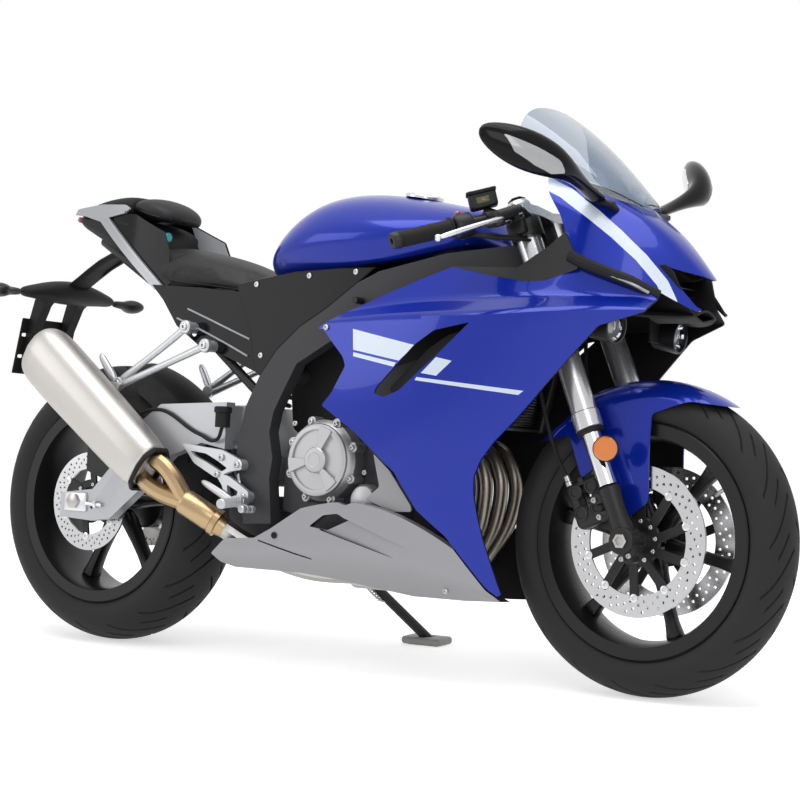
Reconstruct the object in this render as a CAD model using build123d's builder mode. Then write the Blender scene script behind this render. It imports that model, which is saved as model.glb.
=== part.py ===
# A fully faired sport motorcycle, parked on its side stand.
# Everything is drawn upright: X forward, Y to the rider's left, Z up from the ground, X = 0 midway
# between the axles. At the end every piece is leaned over and moved so that the origin lies under the
# middle of the whole. All sizes are in millimetres.
import os
from collections import namedtuple
from math import cos, radians, sin, tan

from build123d import *

# Stance
WHEELBASE = 1380
LEAN = 6
RAKE = 23
FORK_OFFSET = 30
FIT = 0.3
TRIM = 0.05
RUN = 0.08

# Wheels: the tyre's outer radius and section height, its half width, the half width of the rim's seat, the
# shoulder's drop below the crown, the spokes' half thickness and the first spoke's angle
Wheel = namedtuple("Wheel", "x radius section half bead drop spoke first")
FRONT = Wheel(x=WHEELBASE / 2, radius=298, section=82, half=60, bead=47, drop=46, spoke=16, first=-12)
REAR = Wheel(x=-WHEELBASE / 2, radius=312, section=96, half=88, bead=74, drop=58, spoke=20, first=-56)
LIP_HEIGHT = 13
RIM_WALL = 16
LIP_WIDTH = 7
HUB_RADIUS = 30
FLANGE_RADIUS = 46
SPOKES = 6
AXLE_RADIUS = 12
AXLE_BORE = 8

# Brakes
DISC_THICK = 5
DISC_IN = 57.5
DISC_BAND = 41
DISC_CLEAR = 55
REAR_DISC_IN = 102.5
REAR_DISC_RADIUS = 110
REAR_DISC_BAND = 36
PAD_GAP = 2

# Axle fittings
SPACER_RADIUS = 20
NUT_RADIUS = 15
NUT_HIGH = 6
REAR_NUT_RADIUS = 17
REAR_NUT_HIGH = 12

# Drive
CHAIN_Y = 107
CHAIN_WIDE = 15
CHAIN_HIGH = 13
SPROCKET_RADIUS = 88
PINION_RADIUS = 36
PINION_X = -120
PINION_Z = 400

# Fork
FORK_SPREAD = 105
FORK_RADIUS = 25
LEG_RADIUS = 18.5
FOOT_WIDE = 42
FOOT_DEEP = 46
FOOT_LOW = -38
FOOT_TOP = 112
FORK_LOW = 225
LOWER_CLAMP = 470
LOWER_THICK = 30
UPPER_CLAMP = 668
UPPER_THICK = 22
FORK_TOP = 704
STEM_RADIUS = 15
HEAD_RADIUS = 34
BAR_RADIUS = 11
GRIP_RADIUS = 16.5

# Frame and swingarm
SPAR_IN = 118
SPAR_OUT = 150
PIVOT_X = -188
PIVOT_Z = 405
PIVOT_RADIUS = 14
ARM_IN = 124
ARM_OUT = 152
ENGINE_HALF = 116
RAIL_RADIUS = 12
RAIL_Y = SPAR_IN - FIT - RAIL_RADIUS

# Panels
WALL = 4
COVER_THICK = 3
HANGER_X = -390
HANGER_Z = 690
HANGER_PIN = 8
LID_X = 118
LID_RADIUS = 40
LID_THICK = 8

front_axle_point = Vector(FRONT.x, 0, FRONT.radius)
rear_axle_point = Vector(REAR.x, 0, REAR.radius)
DISC_RADIUS = FRONT.radius - FRONT.section - RIM_WALL - DISC_CLEAR
across = Vector(cos(radians(RAKE)), 0, sin(radians(RAKE)))
STEER = Plane(origin=front_axle_point - across * FORK_OFFSET, x_dir=across,
              z_dir=(-sin(radians(RAKE)), 0, cos(radians(RAKE))))
FRONT_HUB = Plane(origin=front_axle_point, x_dir=(0, 1, 0), z_dir=(1, 0, 0))
REAR_HUB = Plane(origin=rear_axle_point, x_dir=(0, 1, 0), z_dir=(1, 0, 0))
MIDDLE = Plane.XZ
THROUGH = 2000
PIECES = {}


def keep(label, builder):
    builder.part.label = label
    PIECES[label] = builder.part


def steer_point(x, y, z):
    return STEER.from_local_coords(Vector(x, y, z))


def seat_radius(wheel):
    return wheel.radius - wheel.section


def about_axle(wheel, reach, outline):
    # A side-view outline round a wheel's axle, given in parts of a reach
    return [(wheel.x + reach * x, wheel.radius + reach * z) for x, z in outline]


def slab(outline, inner, outer, mode=Mode.ADD):
    # A side-view outline made thick on the right-hand side, from |y| = inner to |y| = outer
    with BuildSketch(MIDDLE.offset(inner)) as face:
        with BuildLine():
            Polyline(*outline, close=True)
        make_face()
    extrude(face.sketch, amount=outer - inner, mode=mode)


def rod(start, end, radius, mode=Mode.ADD):
    way = Vector(*end) - Vector(*start)
    with Locations(Plane(origin=start, z_dir=way)):
        Cylinder(radius, way.length, align=(Align.CENTER, Align.CENTER, Align.MIN), mode=mode)


def pipe(points, bend, radius, mode=Mode.ADD):
    with BuildLine() as route:
        FilletPolyline(*points, radius=bend)
    with BuildSketch(Plane(origin=route.line @ 0, z_dir=route.line % 0)) as ring:
        Circle(radius)
    sweep(ring.sketch, path=route.line, mode=mode)


def skin(sections, inward):
    # A thin shell: each section is (x, outer points in (y, z)); the inner side is the outer one moved
    faces = []
    for x, outer in sections:
        inner = [(y + inward[0], z + inward[1]) for y, z in reversed(outer)]
        with BuildSketch(Plane.YZ.offset(x)) as face:
            with BuildLine():
                Polyline(*outer, *inner, close=True)
            make_face()
        faces.append(face.sketch)
    loft(faces, ruled=True)


def rounded(sections):
    # A closed body: flat base, bulging sides, crowned top, one section per x
    faces = []
    for s in sections:
        with BuildSketch(Plane.YZ.offset(s.x)) as face:
            with BuildLine():
                Line((-s.base_w, s.base_z), (s.base_w, s.base_z))
                ThreePointArc((s.base_w, s.base_z), (s.side_w, s.side_z), (s.top_w, s.top_z))
                ThreePointArc((s.top_w, s.top_z), (0, s.crown_z), (-s.top_w, s.top_z))
                ThreePointArc((-s.top_w, s.top_z), (-s.side_w, s.side_z), (-s.base_w, s.base_z))
            make_face()
        faces.append(face.sketch)
    loft(faces)


def tyre_ring(wheel, plane):
    seat = seat_radius(wheel)
    with BuildSketch(plane) as face:
        with BuildLine():
            Polyline((-wheel.half, wheel.radius - wheel.drop), (-wheel.bead, seat + LIP_HEIGHT),
                     (-wheel.bead, seat), (wheel.bead, seat),
                     (wheel.bead, seat + LIP_HEIGHT), (wheel.half, wheel.radius - wheel.drop))
            ThreePointArc((wheel.half, wheel.radius - wheel.drop), (0, wheel.radius),
                          (-wheel.half, wheel.radius - wheel.drop))
        make_face()
    revolve(face.sketch, axis=Axis(plane.origin, (0, 1, 0)))


def rim_ring(wheel, plane):
    inside = wheel.bead + FIT
    edge = wheel.bead + LIP_WIDTH
    seat = seat_radius(wheel) - FIT
    lip = seat + LIP_HEIGHT - FIT
    bore = seat_radius(wheel) - RIM_WALL
    with BuildSketch(plane) as face:
        with BuildLine():
            Polyline((-edge, bore), (edge, bore), (edge, lip), (inside, lip), (inside, seat),
                     (-inside, seat), (-inside, lip), (-edge, lip), close=True)
        make_face()
    revolve(face.sketch, axis=Axis(plane.origin, (0, 1, 0)))


def spokes(wheel):
    reach = seat_radius(wheel) - RIM_WALL + 2
    hub = Plane(origin=(wheel.x, 0, wheel.radius), x_dir=(1, 0, 0), z_dir=(0, -1, 0))
    with BuildSketch(hub) as face:
        with PolarLocations(0, SPOKES, start_angle=wheel.first):
            Polygon((HUB_RADIUS - 8, -21), (reach, -13), (reach, 13), (HUB_RADIUS - 8, 21), align=None)
    extrude(face.sketch, amount=wheel.spoke, both=True)


def disc(wheel, inner, outer_radius, band):
    # A brake disc on the right-hand side: band, six arms and a bolting ring
    face_plane = Plane(origin=(wheel.x, -inner, wheel.radius), x_dir=(1, 0, 0), z_dir=(0, -1, 0))
    with BuildSketch(face_plane) as face:
        Circle(outer_radius)
        Circle(outer_radius - band, mode=Mode.SUBTRACT)
        Circle(FLANGE_RADIUS)
        with PolarLocations(0, SPOKES, start_angle=wheel.first + 30):
            Polygon((FLANGE_RADIUS - 6, -13), (outer_radius - band + 2, -9), (outer_radius - band + 2, 9),
                    (FLANGE_RADIUS - 6, 13), align=None)
        Circle(HUB_RADIUS, mode=Mode.SUBTRACT)
    extrude(face.sketch, amount=DISC_THICK)


# Front wheel
with BuildPart() as front_tyre:
    tyre_ring(FRONT, FRONT_HUB)
keep("front_tyre", front_tyre)

with BuildPart() as front_rim:
    rim_ring(FRONT, FRONT_HUB)
    spokes(FRONT)
    rod((FRONT.x, -DISC_IN + FIT, FRONT.radius), (FRONT.x, DISC_IN - FIT, FRONT.radius), HUB_RADIUS)
    for side in (-1, 1):
        rod((FRONT.x, side * (DISC_IN - 9), FRONT.radius), (FRONT.x, side * (DISC_IN - FIT), FRONT.radius),
            FLANGE_RADIUS)
    rod((FRONT.x, -DISC_IN, FRONT.radius), (FRONT.x, DISC_IN, FRONT.radius), AXLE_RADIUS + RUN,
        mode=Mode.SUBTRACT)
keep("front_rim", front_rim)

with BuildPart() as front_discs:
    disc(FRONT, DISC_IN, DISC_RADIUS, DISC_BAND)
    mirror(about=MIDDLE)
keep("front_discs", front_discs)

# Rear wheel
with BuildPart() as rear_tyre:
    tyre_ring(REAR, REAR_HUB)
keep("rear_tyre", rear_tyre)

sprocket_in = CHAIN_Y - 3.5
with BuildPart() as rear_rim:
    rim_ring(REAR, REAR_HUB)
    spokes(REAR)
    rod((REAR.x, -REAR_DISC_IN + FIT, REAR.radius), (REAR.x, sprocket_in - FIT, REAR.radius), HUB_RADIUS)
    rod((REAR.x, -REAR_DISC_IN + FIT, REAR.radius), (REAR.x, -REAR_DISC_IN + 10, REAR.radius), FLANGE_RADIUS)
    rod((REAR.x, sprocket_in - 34, REAR.radius), (REAR.x, sprocket_in - FIT, REAR.radius), FLANGE_RADIUS + 12)
    rod((REAR.x, -REAR_DISC_IN, REAR.radius), (REAR.x, sprocket_in, REAR.radius), AXLE_RADIUS + RUN,
        mode=Mode.SUBTRACT)
keep("rear_rim", rear_rim)

with BuildPart() as rear_disc:
    disc(REAR, REAR_DISC_IN, REAR_DISC_RADIUS, REAR_DISC_BAND)
keep("rear_disc", rear_disc)

with BuildPart() as rear_sprocket:
    face_plane = Plane(origin=(REAR.x, sprocket_in, REAR.radius), x_dir=(1, 0, 0), z_dir=(0, 1, 0))
    with BuildSketch(face_plane):
        Circle(SPROCKET_RADIUS)
        Circle(HUB_RADIUS, mode=Mode.SUBTRACT)
        with PolarLocations((SPROCKET_RADIUS + FLANGE_RADIUS) / 2 + 2, 6):
            Circle(9, mode=Mode.SUBTRACT)
    extrude(amount=7)
keep("rear_sprocket", rear_sprocket)

# Fork and steering
foot_in = FORK_SPREAD - FOOT_WIDE / 2
foot_out = FORK_SPREAD + FOOT_WIDE / 2
axle_end = foot_out + NUT_HIGH
with BuildPart() as front_axle:
    rod((FRONT.x, -axle_end, FRONT.radius), (FRONT.x, axle_end, FRONT.radius), AXLE_RADIUS)
    for side in (-1, 1):
        rod((FRONT.x, side * DISC_IN, FRONT.radius), (FRONT.x, side * (foot_in - TRIM), FRONT.radius),
            SPACER_RADIUS)
        rod((FRONT.x, side * (foot_out + TRIM), FRONT.radius), (FRONT.x, side * axle_end, FRONT.radius),
            NUT_RADIUS)
    rod((FRONT.x, -axle_end, FRONT.radius), (FRONT.x, axle_end, FRONT.radius), AXLE_BORE, mode=Mode.SUBTRACT)
keep("front_axle", front_axle)

with BuildPart(STEER) as fork_feet:
    for side in (-1, 1):
        with Locations((FORK_OFFSET, side * FORK_SPREAD, (FOOT_LOW + FOOT_TOP) / 2)):
            Box(FOOT_DEEP, FOOT_WIDE, FOOT_TOP - FOOT_LOW)
    fillet(fork_feet.edges().filter_by(Axis((0, 0, 0), STEER.z_dir)), 9)
    rod((FORK_OFFSET, -foot_out - 1, 0), (FORK_OFFSET, foot_out + 1, 0), AXLE_RADIUS + TRIM,
        mode=Mode.SUBTRACT)
keep("fork_feet", fork_feet)

with BuildPart(STEER) as fork_inner_tubes:
    with Locations((FORK_OFFSET, -FORK_SPREAD, FOOT_TOP), (FORK_OFFSET, FORK_SPREAD, FOOT_TOP)):
        Cylinder(LEG_RADIUS, FORK_LOW - FOOT_TOP, align=(Align.CENTER, Align.CENTER, Align.MIN))
keep("fork_inner_tubes", fork_inner_tubes)

with BuildPart(STEER) as fork_outer_tubes:
    with Locations((FORK_OFFSET, -FORK_SPREAD, FORK_LOW), (FORK_OFFSET, FORK_SPREAD, FORK_LOW)):
        Cylinder(FORK_RADIUS, FORK_TOP - FORK_LOW, align=(Align.CENTER, Align.CENTER, Align.MIN))
        Cylinder(FORK_RADIUS + 2.5, 36, align=(Align.CENTER, Align.CENTER, Align.MIN))
keep("fork_outer_tubes", fork_outer_tubes)

clamp_plan = [(-30, -34), (4, -136), (56, -136), (56, -74), (44, 0), (56, 74), (56, 136), (4, 136), (-30, 34)]
with BuildPart(STEER) as triple_clamps:
    for low, thick in ((LOWER_CLAMP, LOWER_THICK), (UPPER_CLAMP, UPPER_THICK)):
        with BuildSketch(STEER.offset(low)):
            with BuildLine():
                Polyline(*clamp_plan, close=True)
            make_face()
        extrude(amount=thick)
    with Locations((0, 0, LOWER_CLAMP)):
        Cylinder(STEM_RADIUS, UPPER_CLAMP + UPPER_THICK - LOWER_CLAMP + 8,
                 align=(Align.CENTER, Align.CENTER, Align.MIN))
    with Locations((FORK_OFFSET, -FORK_SPREAD, 0), (FORK_OFFSET, FORK_SPREAD, 0)):
        Cylinder(FORK_RADIUS + TRIM, THROUGH, mode=Mode.SUBTRACT)
keep("triple_clamps", triple_clamps)

# Handlebars: a straight bar from above the clip-on collar to the bar end, right side first
bar_in = steer_point(37.5, -126, 678)
bar_out = steer_point(-120.8, -352, 658)
bar_way = (bar_out - bar_in).normalized()
bar_length = (bar_out - bar_in).length
grip_from = bar_in + bar_way * (bar_length - 128)
grip_to = bar_in + bar_way * (bar_length - 12)
COLLAR_WALL = 8
COLLAR_HIGH = 40
collar_low = UPPER_CLAMP - COLLAR_HIGH - 4
with BuildPart() as handlebars:
    with Locations(STEER):
        with Locations((FORK_OFFSET, -FORK_SPREAD, collar_low)):
            Cylinder(FORK_RADIUS + COLLAR_WALL, COLLAR_HIGH, align=(Align.CENTER, Align.CENTER, Align.MIN))
    rod(tuple(bar_in), tuple(grip_from), BAR_RADIUS)
    rod(tuple(steer_point(FORK_OFFSET - 6, -FORK_SPREAD - 26, collar_low + 20)),
        tuple(bar_in + bar_way * 14), 10)
    with Locations(STEER):
        with Locations((FORK_OFFSET, -FORK_SPREAD, 0)):
            Cylinder(FORK_RADIUS + TRIM, THROUGH, mode=Mode.SUBTRACT)
    rod(tuple(grip_to), tuple(bar_out), 13)
    mirror(about=MIDDLE)
    add(triple_clamps.part, mode=Mode.SUBTRACT)
keep("handlebars", handlebars)

with BuildPart() as grips:
    rod(tuple(grip_from), tuple(grip_to), GRIP_RADIUS)
    mirror(about=MIDDLE)
keep("grips", grips)

# Switch housing, lever and fluid reservoir (the reservoir on the right only)
switch_from = bar_in + bar_way * 74
switch_to = bar_in + bar_way * 118
lever_pivot = bar_in + bar_way * 66 + Vector(40, 0, -6)
CUP_RADIUS = 18
CUP_HIGH = 32
cup_at = bar_in + Vector(-42, -46, 15)
lever_tip = bar_in + bar_way * (bar_length - 26) + Vector(58, 0, -6)
with BuildPart() as hand_controls:
    rod(tuple(switch_from), tuple(switch_to), 20)
    rod(tuple(bar_in + bar_way * 48), tuple(bar_in + bar_way * 72), 17)
    rod(tuple(bar_in + bar_way * 60 + Vector(6, 0, 0)), tuple(lever_pivot), 10)
    pipe([tuple(lever_pivot + Vector(0, 16, 4)), tuple(lever_pivot + bar_way * 26 + Vector(14, 0, 0)),
          tuple(lever_tip)], 20, 6)
    rod(tuple(bar_in), tuple(bar_out), BAR_RADIUS + TRIM, mode=Mode.SUBTRACT)
    mirror(about=MIDDLE)
    with Locations(tuple(cup_at)):
        Cylinder(CUP_RADIUS, CUP_HIGH)
    rod(tuple(cup_at - Vector(0, 0, CUP_HIGH / 2 - 2)), tuple(bar_in + bar_way * 60 + Vector(2, 0, 10)), 7)
    add(handlebars.part, mode=Mode.SUBTRACT)
keep("hand_controls", hand_controls)

# Front mudguard: a band over the tyre, with cheeks that reach down beside the fork
GUARD_GAP = 12
guard_in = FRONT.radius + GUARD_GAP
GUARD_WALL = 3
GUARD_LOW = 20
guard_half = FRONT.half + 10
guard_out = guard_half + GUARD_WALL
guard_side = guard_in - FRONT.drop
guard_shape = [(0.59, 0.83), (0.33, 0.99), (0, 1.05), (-0.23, 1.05), (-0.42, 0.91), (-0.55, 0.72),
               (-0.71, 0.55), (-0.55, 0.46), (-0.37, 0.55), (-0.29, 0.59), (-0.16, 0.37),
               (-0.07, 0.13), (0.08, 0.24), (0.07, 0.55), (0.08, 0.78), (0.32, 0.86)]
with BuildPart() as front_mudguard:
    with BuildSketch(FRONT_HUB) as face:
        with BuildLine():
            Line((-guard_half, GUARD_LOW), (-guard_half, guard_side))
            ThreePointArc((-guard_half, guard_side), (0, guard_in), (guard_half, guard_side))
            Line((guard_half, guard_side), (guard_half, GUARD_LOW))
            Line((guard_half, GUARD_LOW), (guard_out, GUARD_LOW))
            Line((guard_out, GUARD_LOW), (guard_out, guard_side + 1))
            ThreePointArc((guard_out, guard_side + 1), (0, guard_in + GUARD_WALL),
                          (-guard_out, guard_side + 1))
            Line((-guard_out, guard_side + 1), (-guard_out, GUARD_LOW))
            Line((-guard_out, GUARD_LOW), (-guard_half, GUARD_LOW))
        make_face()
    revolve(face.sketch, axis=Axis(front_axle_point, (0, 1, 0)), revolution_arc=360)
    with BuildSketch(MIDDLE) as cut:
        with BuildLine():
            Polyline(*about_axle(FRONT, guard_in, guard_shape), close=True)
        make_face()
    extrude(cut.sketch, amount=200, both=True, mode=Mode.INTERSECT)
    for side in (-1, 1):
        rod(tuple(steer_point(FORK_OFFSET, side * (guard_half + 2), 150)),
            tuple(steer_point(FORK_OFFSET, side * (FORK_SPREAD - LEG_RADIUS + 4), 150)), 9)
    add(fork_inner_tubes.part, mode=Mode.SUBTRACT)
keep("front_mudguard", front_mudguard)

# Front calipers: on the discs, behind the fork feet
CALIPER_X = (FORK_OFFSET - 0.7 * DISC_RADIUS, FORK_OFFSET - FOOT_DEEP / 2 - FIT)
CALIPER_Z = (0.386 * DISC_RADIUS, 1.034 * DISC_RADIUS)
CALIPER_Y = (40, 90)
slot_in = DISC_IN - PAD_GAP
slot_out = DISC_IN + DISC_THICK + PAD_GAP
with BuildPart(STEER) as front_calipers:
    for side in (-1, 1):
        with Locations((sum(CALIPER_X) / 2, side * sum(CALIPER_Y) / 2, sum(CALIPER_Z) / 2)):
            Box(CALIPER_X[1] - CALIPER_X[0], CALIPER_Y[1] - CALIPER_Y[0], CALIPER_Z[1] - CALIPER_Z[0])
    fillet(front_calipers.edges().filter_by(Axis.Y), 14)
    for side in (-1, 1):
        rod((FORK_OFFSET, side * slot_in, 0), (FORK_OFFSET, side * slot_out, 0), DISC_RADIUS + 4,
            mode=Mode.SUBTRACT)
keep("front_calipers", front_calipers)

# Main frame: a head tube, two spars and the plates down to the swingarm's pivot
spar_side = [(120, 812), (68, 790), (-11, 737), (-77, 700), (-135, 652), (-180, 595), (-211, 535),
             (-222, 487), (-232, 429), (-212, 352), (-205, 285), (-130, 289), (-140, 384), (-134, 426),
             (-146, 480), (-137, 522), (-116, 562), (-82, 623), (0, 668), (120, 716)]
head_at = steer_point(0, 0, (LOWER_CLAMP + LOWER_THICK + UPPER_CLAMP) / 2)
Spar = namedtuple("Spar", "x inner outer low high")
spar_end = Spar(head_at.X - 24, 16, 54, head_at.Z - 32, head_at.Z + 48)
spar_start = Spar(120, SPAR_IN, SPAR_OUT, 716, 812)
spar_middle = Spar((spar_start.x + spar_end.x) / 2, 88, 124, (spar_start.low + spar_end.low) / 2,
                   (spar_start.high + spar_end.high) / 2 + 6)
spar_front = [spar_start, spar_middle, spar_end]
STAND_AT = Vector(-125, 112, 232)
FOOT_AT = (-28, 300)
ground_tilt = Vector(0, -sin(radians(LEAN)), cos(radians(LEAN)))
STAND_FOOT = Vector(*FOOT_AT, FOOT_AT[1] * tan(radians(LEAN)))
leg_way = (STAND_FOOT - STAND_AT).normalized()
stow_way = Vector(-0.97, 0.22, -0.05).normalized()
hinge_way = leg_way.cross(stow_way).normalized()
PIN_RADIUS = 8
STAND_HUB = 19
STAND_LEG = 11
STAND_PAD = (78, 44, 8)
with BuildPart() as main_frame:
    slab(spar_side, SPAR_IN, SPAR_OUT)
    fronts = []
    for s in spar_front:
        with BuildSketch(Plane.YZ.offset(s.x)) as face:
            with BuildLine():
                Polyline((-s.outer, s.low), (-s.inner, s.low), (-s.inner, s.high), (-s.outer, s.high),
                         close=True)
            make_face()
        fronts.append(face.sketch)
    loft(fronts, ruled=True)
    mirror(about=MIDDLE)
    with Locations(STEER):
        with Locations((0, 0, LOWER_CLAMP + LOWER_THICK + FIT)):
            Cylinder(HEAD_RADIUS, UPPER_CLAMP - LOWER_CLAMP - LOWER_THICK - 2 * FIT,
                     align=(Align.CENTER, Align.CENTER, Align.MIN))
    with Locations(STEER):
        Cylinder(STEM_RADIUS + RUN, THROUGH, mode=Mode.SUBTRACT)
    rod((PIVOT_X, -SPAR_IN - 2, PIVOT_Z), (PIVOT_X, SPAR_IN + 2, PIVOT_Z), PIVOT_RADIUS)
    rod((-120, -SPAR_IN - 2, 600), (-120, SPAR_IN + 2, 600), 16)
    rod((-168, SPAR_IN + 16, 300), tuple(STAND_AT + hinge_way * 20), 14)
    rod(tuple(STAND_AT + hinge_way * FIT), tuple(STAND_AT + hinge_way * 30), STAND_HUB)
    rod(tuple(STAND_AT - hinge_way * 24), tuple(STAND_AT + hinge_way * 26), PIN_RADIUS)
keep("main_frame", main_frame)

# Side stand, deployed: its foot lies on the ground once the machine leans
with BuildPart() as side_stand:
    rod(tuple(STAND_AT - hinge_way * 22), tuple(STAND_AT), STAND_HUB)
    rod(tuple(STAND_AT - hinge_way * 13), tuple(STAND_FOOT + ground_tilt * 12), STAND_LEG)
    with Locations(Plane(origin=STAND_FOOT, x_dir=(1, 0, 0), z_dir=ground_tilt)):
        Box(*STAND_PAD, align=(Align.CENTER, Align.CENTER, Align.MIN))
        Cylinder(16, 18, align=(Align.CENTER, Align.CENTER, Align.MIN))
    rod(tuple(STAND_AT - hinge_way * 30), tuple(STAND_AT + hinge_way * 30), PIN_RADIUS + RUN,
        mode=Mode.SUBTRACT)
keep("side_stand", side_stand)

# Subframe rails under the seats
with BuildPart() as subframe:
    pipe([(-112, -RAIL_Y, 640), (-290, -RAIL_Y, 770), (-520, -88, 792), (-750, -34, 908)], 60, RAIL_RADIUS)
    rod((-192, -RAIL_Y - 2, 545), (-520, -88, 792), 10)
    mirror(about=MIDDLE)
    rod((-512, -88, 788), (-512, 88, 788), 9)
keep("subframe", subframe)

# Engine
engine_side = [(-126, 320), (-86, 306), (-74, 245), (150, 236), (206, 290), (220, 420), (268, 566),
               (214, 640), (62, 596), (24, 472), (-100, 458), (-126, 420)]
with BuildPart() as engine_block:
    slab(engine_side, -ENGINE_HALF, ENGINE_HALF)
    for side in (-1, 1):
        rod((-108, side * 90, 440), (-108, side * SPAR_IN, 440), 12)
    rod((PINION_X, ENGINE_HALF - 40, PINION_Z), (PINION_X, CHAIN_Y + CHAIN_WIDE / 2, PINION_Z), 24)
keep("engine_block", engine_block)

# Round covers: centre, inner and outer y, radius
face_right = -ENGINE_HALF - TRIM
face_left = ENGINE_HALF + TRIM
cover_table = [(-5, 425, face_right, -166, 84), (-5, 425, -160, -178, 72), (101, 348, face_right, -152, 32),
               (70, 420, face_left, 158, 78), (70, 420, 150, 170, 64)]
with BuildPart() as engine_covers:
    for x, z, inner, outer, radius in cover_table:
        rod((x, inner, z), (x, outer, z), radius)
keep("engine_covers", engine_covers)

# Chain: a closed belt round both sprockets
link_in = 1.2
with BuildPart() as drive_chain:
    chain_face = Plane(origin=(0, CHAIN_Y - CHAIN_WIDE / 2, 0), x_dir=(1, 0, 0), z_dir=(0, 1, 0))
    with BuildSketch(chain_face) as loop:
        for grow, how in ((CHAIN_HIGH, Mode.ADD), (0, Mode.SUBTRACT)):
            with BuildSketch(mode=how):
                with Locations((REAR.x, -REAR.radius)):
                    Circle(SPROCKET_RADIUS + link_in + grow)
                with Locations((PINION_X, -PINION_Z)):
                    Circle(PINION_RADIUS + link_in + grow)
                make_hull()
    extrude(loop.sketch, amount=CHAIN_WIDE)
    add(engine_block.part, mode=Mode.SUBTRACT)
keep("drive_chain", drive_chain)

# Swingarm with its rear axle: points along the line from axle to pivot, and their height above it
def along_arm(part, height):
    return (REAR.x + part * (PIVOT_X - REAR.x), REAR.radius + part * (PIVOT_Z - REAR.radius) + height)


arm_table = [(-0.09, 26), (-0.09, -28), (0.1, -51), (0.21, -54), (0.38, -2), (0.54, 58), (0.72, 73),
             (0.85, 49), (0.85, 149), (0.48, 176), (0.38, 151), (0.26, 84), (0.1, 19)]
yoke_table = [(0.64, 84), (0.85, 49), (0.865, -16), (0.966, -36), (1.044, -29), (1.044, 21),
              (0.966, 68), (0.85, 145), (0.64, 165)]
YOKE_HALF = 92
BOBBIN_X = REAR.x + 50
BOBBIN_Z = REAR.radius - 12
BOBBIN_RADIUS = 4
BOBBIN_DEEP = 20
bridge_x, bridge_z = along_arm(0.74, 116)
with BuildPart() as swingarm:
    slab([along_arm(*point) for point in arm_table], ARM_IN, ARM_OUT)
    mirror(about=MIDDLE)
    slab([along_arm(*point) for point in yoke_table], -YOKE_HALF, YOKE_HALF)
    for side in (-1, 1):
        with Locations((bridge_x, side * (ARM_IN + YOKE_HALF - 8) / 2, bridge_z)):
            Box(100, ARM_IN - YOKE_HALF + 16, 72)
    rod((PIVOT_X, -200, PIVOT_Z), (PIVOT_X, 200, PIVOT_Z), PIVOT_RADIUS + FIT, mode=Mode.SUBTRACT)
    rod((REAR.x, -200, REAR.radius), (REAR.x, 200, REAR.radius), AXLE_RADIUS + TRIM, mode=Mode.SUBTRACT)
    for side in (-1, 1):
        rod((BOBBIN_X, side * (ARM_OUT - BOBBIN_DEEP), BOBBIN_Z), (BOBBIN_X, side * (ARM_OUT + 1), BOBBIN_Z),
            BOBBIN_RADIUS, mode=Mode.SUBTRACT)
keep("swingarm", swingarm)

with BuildPart() as rear_axle:
    nut_end = ARM_OUT + REAR_NUT_HIGH
    rod((REAR.x, -nut_end, REAR.radius), (REAR.x, nut_end, REAR.radius), AXLE_RADIUS)
    for side, inner in ((-1, REAR_DISC_IN), (1, sprocket_in)):
        rod((REAR.x, side * inner, REAR.radius), (REAR.x, side * (ARM_IN - TRIM), REAR.radius), SPACER_RADIUS)
        rod((REAR.x, side * (ARM_OUT + TRIM), REAR.radius), (REAR.x, side * nut_end, REAR.radius),
            REAR_NUT_RADIUS)
keep("rear_axle", rear_axle)

caliper_in = REAR_DISC_IN - PAD_GAP
caliper_out = REAR_DISC_IN + DISC_THICK + PAD_GAP
with BuildPart() as rear_caliper:
    slab(about_axle(REAR, REAR_DISC_RADIUS, [(0, 0.62), (0.82, 0.36), (1.05, 0.8), (0.71, 1.18), (0, 1.24)]),
         REAR_DISC_IN - 10, ARM_IN - FIT)
    rod((REAR.x, -caliper_in, REAR.radius), (REAR.x, -caliper_out, REAR.radius), REAR_DISC_RADIUS + 4,
        mode=Mode.SUBTRACT)
keep("rear_caliper", rear_caliper)

with BuildPart() as rear_shock:
    rod((-250, 0, 536 + FIT), (-214, 0, 660), 30)
    rod((-214, 0, 655), (-196, 0, 716), 14)
    rod((-196, -RAIL_Y, 716), (-196, RAIL_Y, 716), 9)
    add(subframe.part, mode=Mode.SUBTRACT)
    add(swingarm.part, mode=Mode.SUBTRACT)
keep("rear_shock", rear_shock)

# Hugger over the rear tyre
hug_in = REAR.radius + 12
hug_shape = [(0.154, 1.2), (0.278, 0.89), (0.586, 0.488), (0.98, 0.488), (0.98, 0.765), (0.68, 1.01),
             (0.4, 1.2)]
lug_x, lug_z = about_axle(REAR, hug_in, [(0.63, 0.58)])[0]
with BuildPart() as rear_hugger:
    with BuildSketch(REAR_HUB) as face:
        with BuildLine():
            Line((-96, hug_in - 52), (-60, hug_in - 16))
            ThreePointArc((-60, hug_in - 16), (0, hug_in), (60, hug_in - 16))
            Line((60, hug_in - 16), (96, hug_in - 52))
            Line((96, hug_in - 52), (99, hug_in - 50))
            Line((99, hug_in - 50), (62, hug_in - 12))
            ThreePointArc((62, hug_in - 12), (0, hug_in + 4), (-62, hug_in - 12))
            Line((-62, hug_in - 12), (-99, hug_in - 50))
            Line((-99, hug_in - 50), (-96, hug_in - 52))
        make_face()
    revolve(face.sketch, axis=Axis(rear_axle_point, (0, 1, 0)), revolution_arc=360)
    with BuildSketch(MIDDLE) as cut:
        with BuildLine():
            Polyline(*about_axle(REAR, hug_in, hug_shape), close=True)
        make_face()
    extrude(cut.sketch, amount=200, both=True, mode=Mode.INTERSECT)
    for side in (-1, 1):
        rod((lug_x, side * 90, lug_z), (lug_x, side * (ARM_IN - FIT), lug_z), 8)
keep("rear_hugger", rear_hugger)

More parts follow.
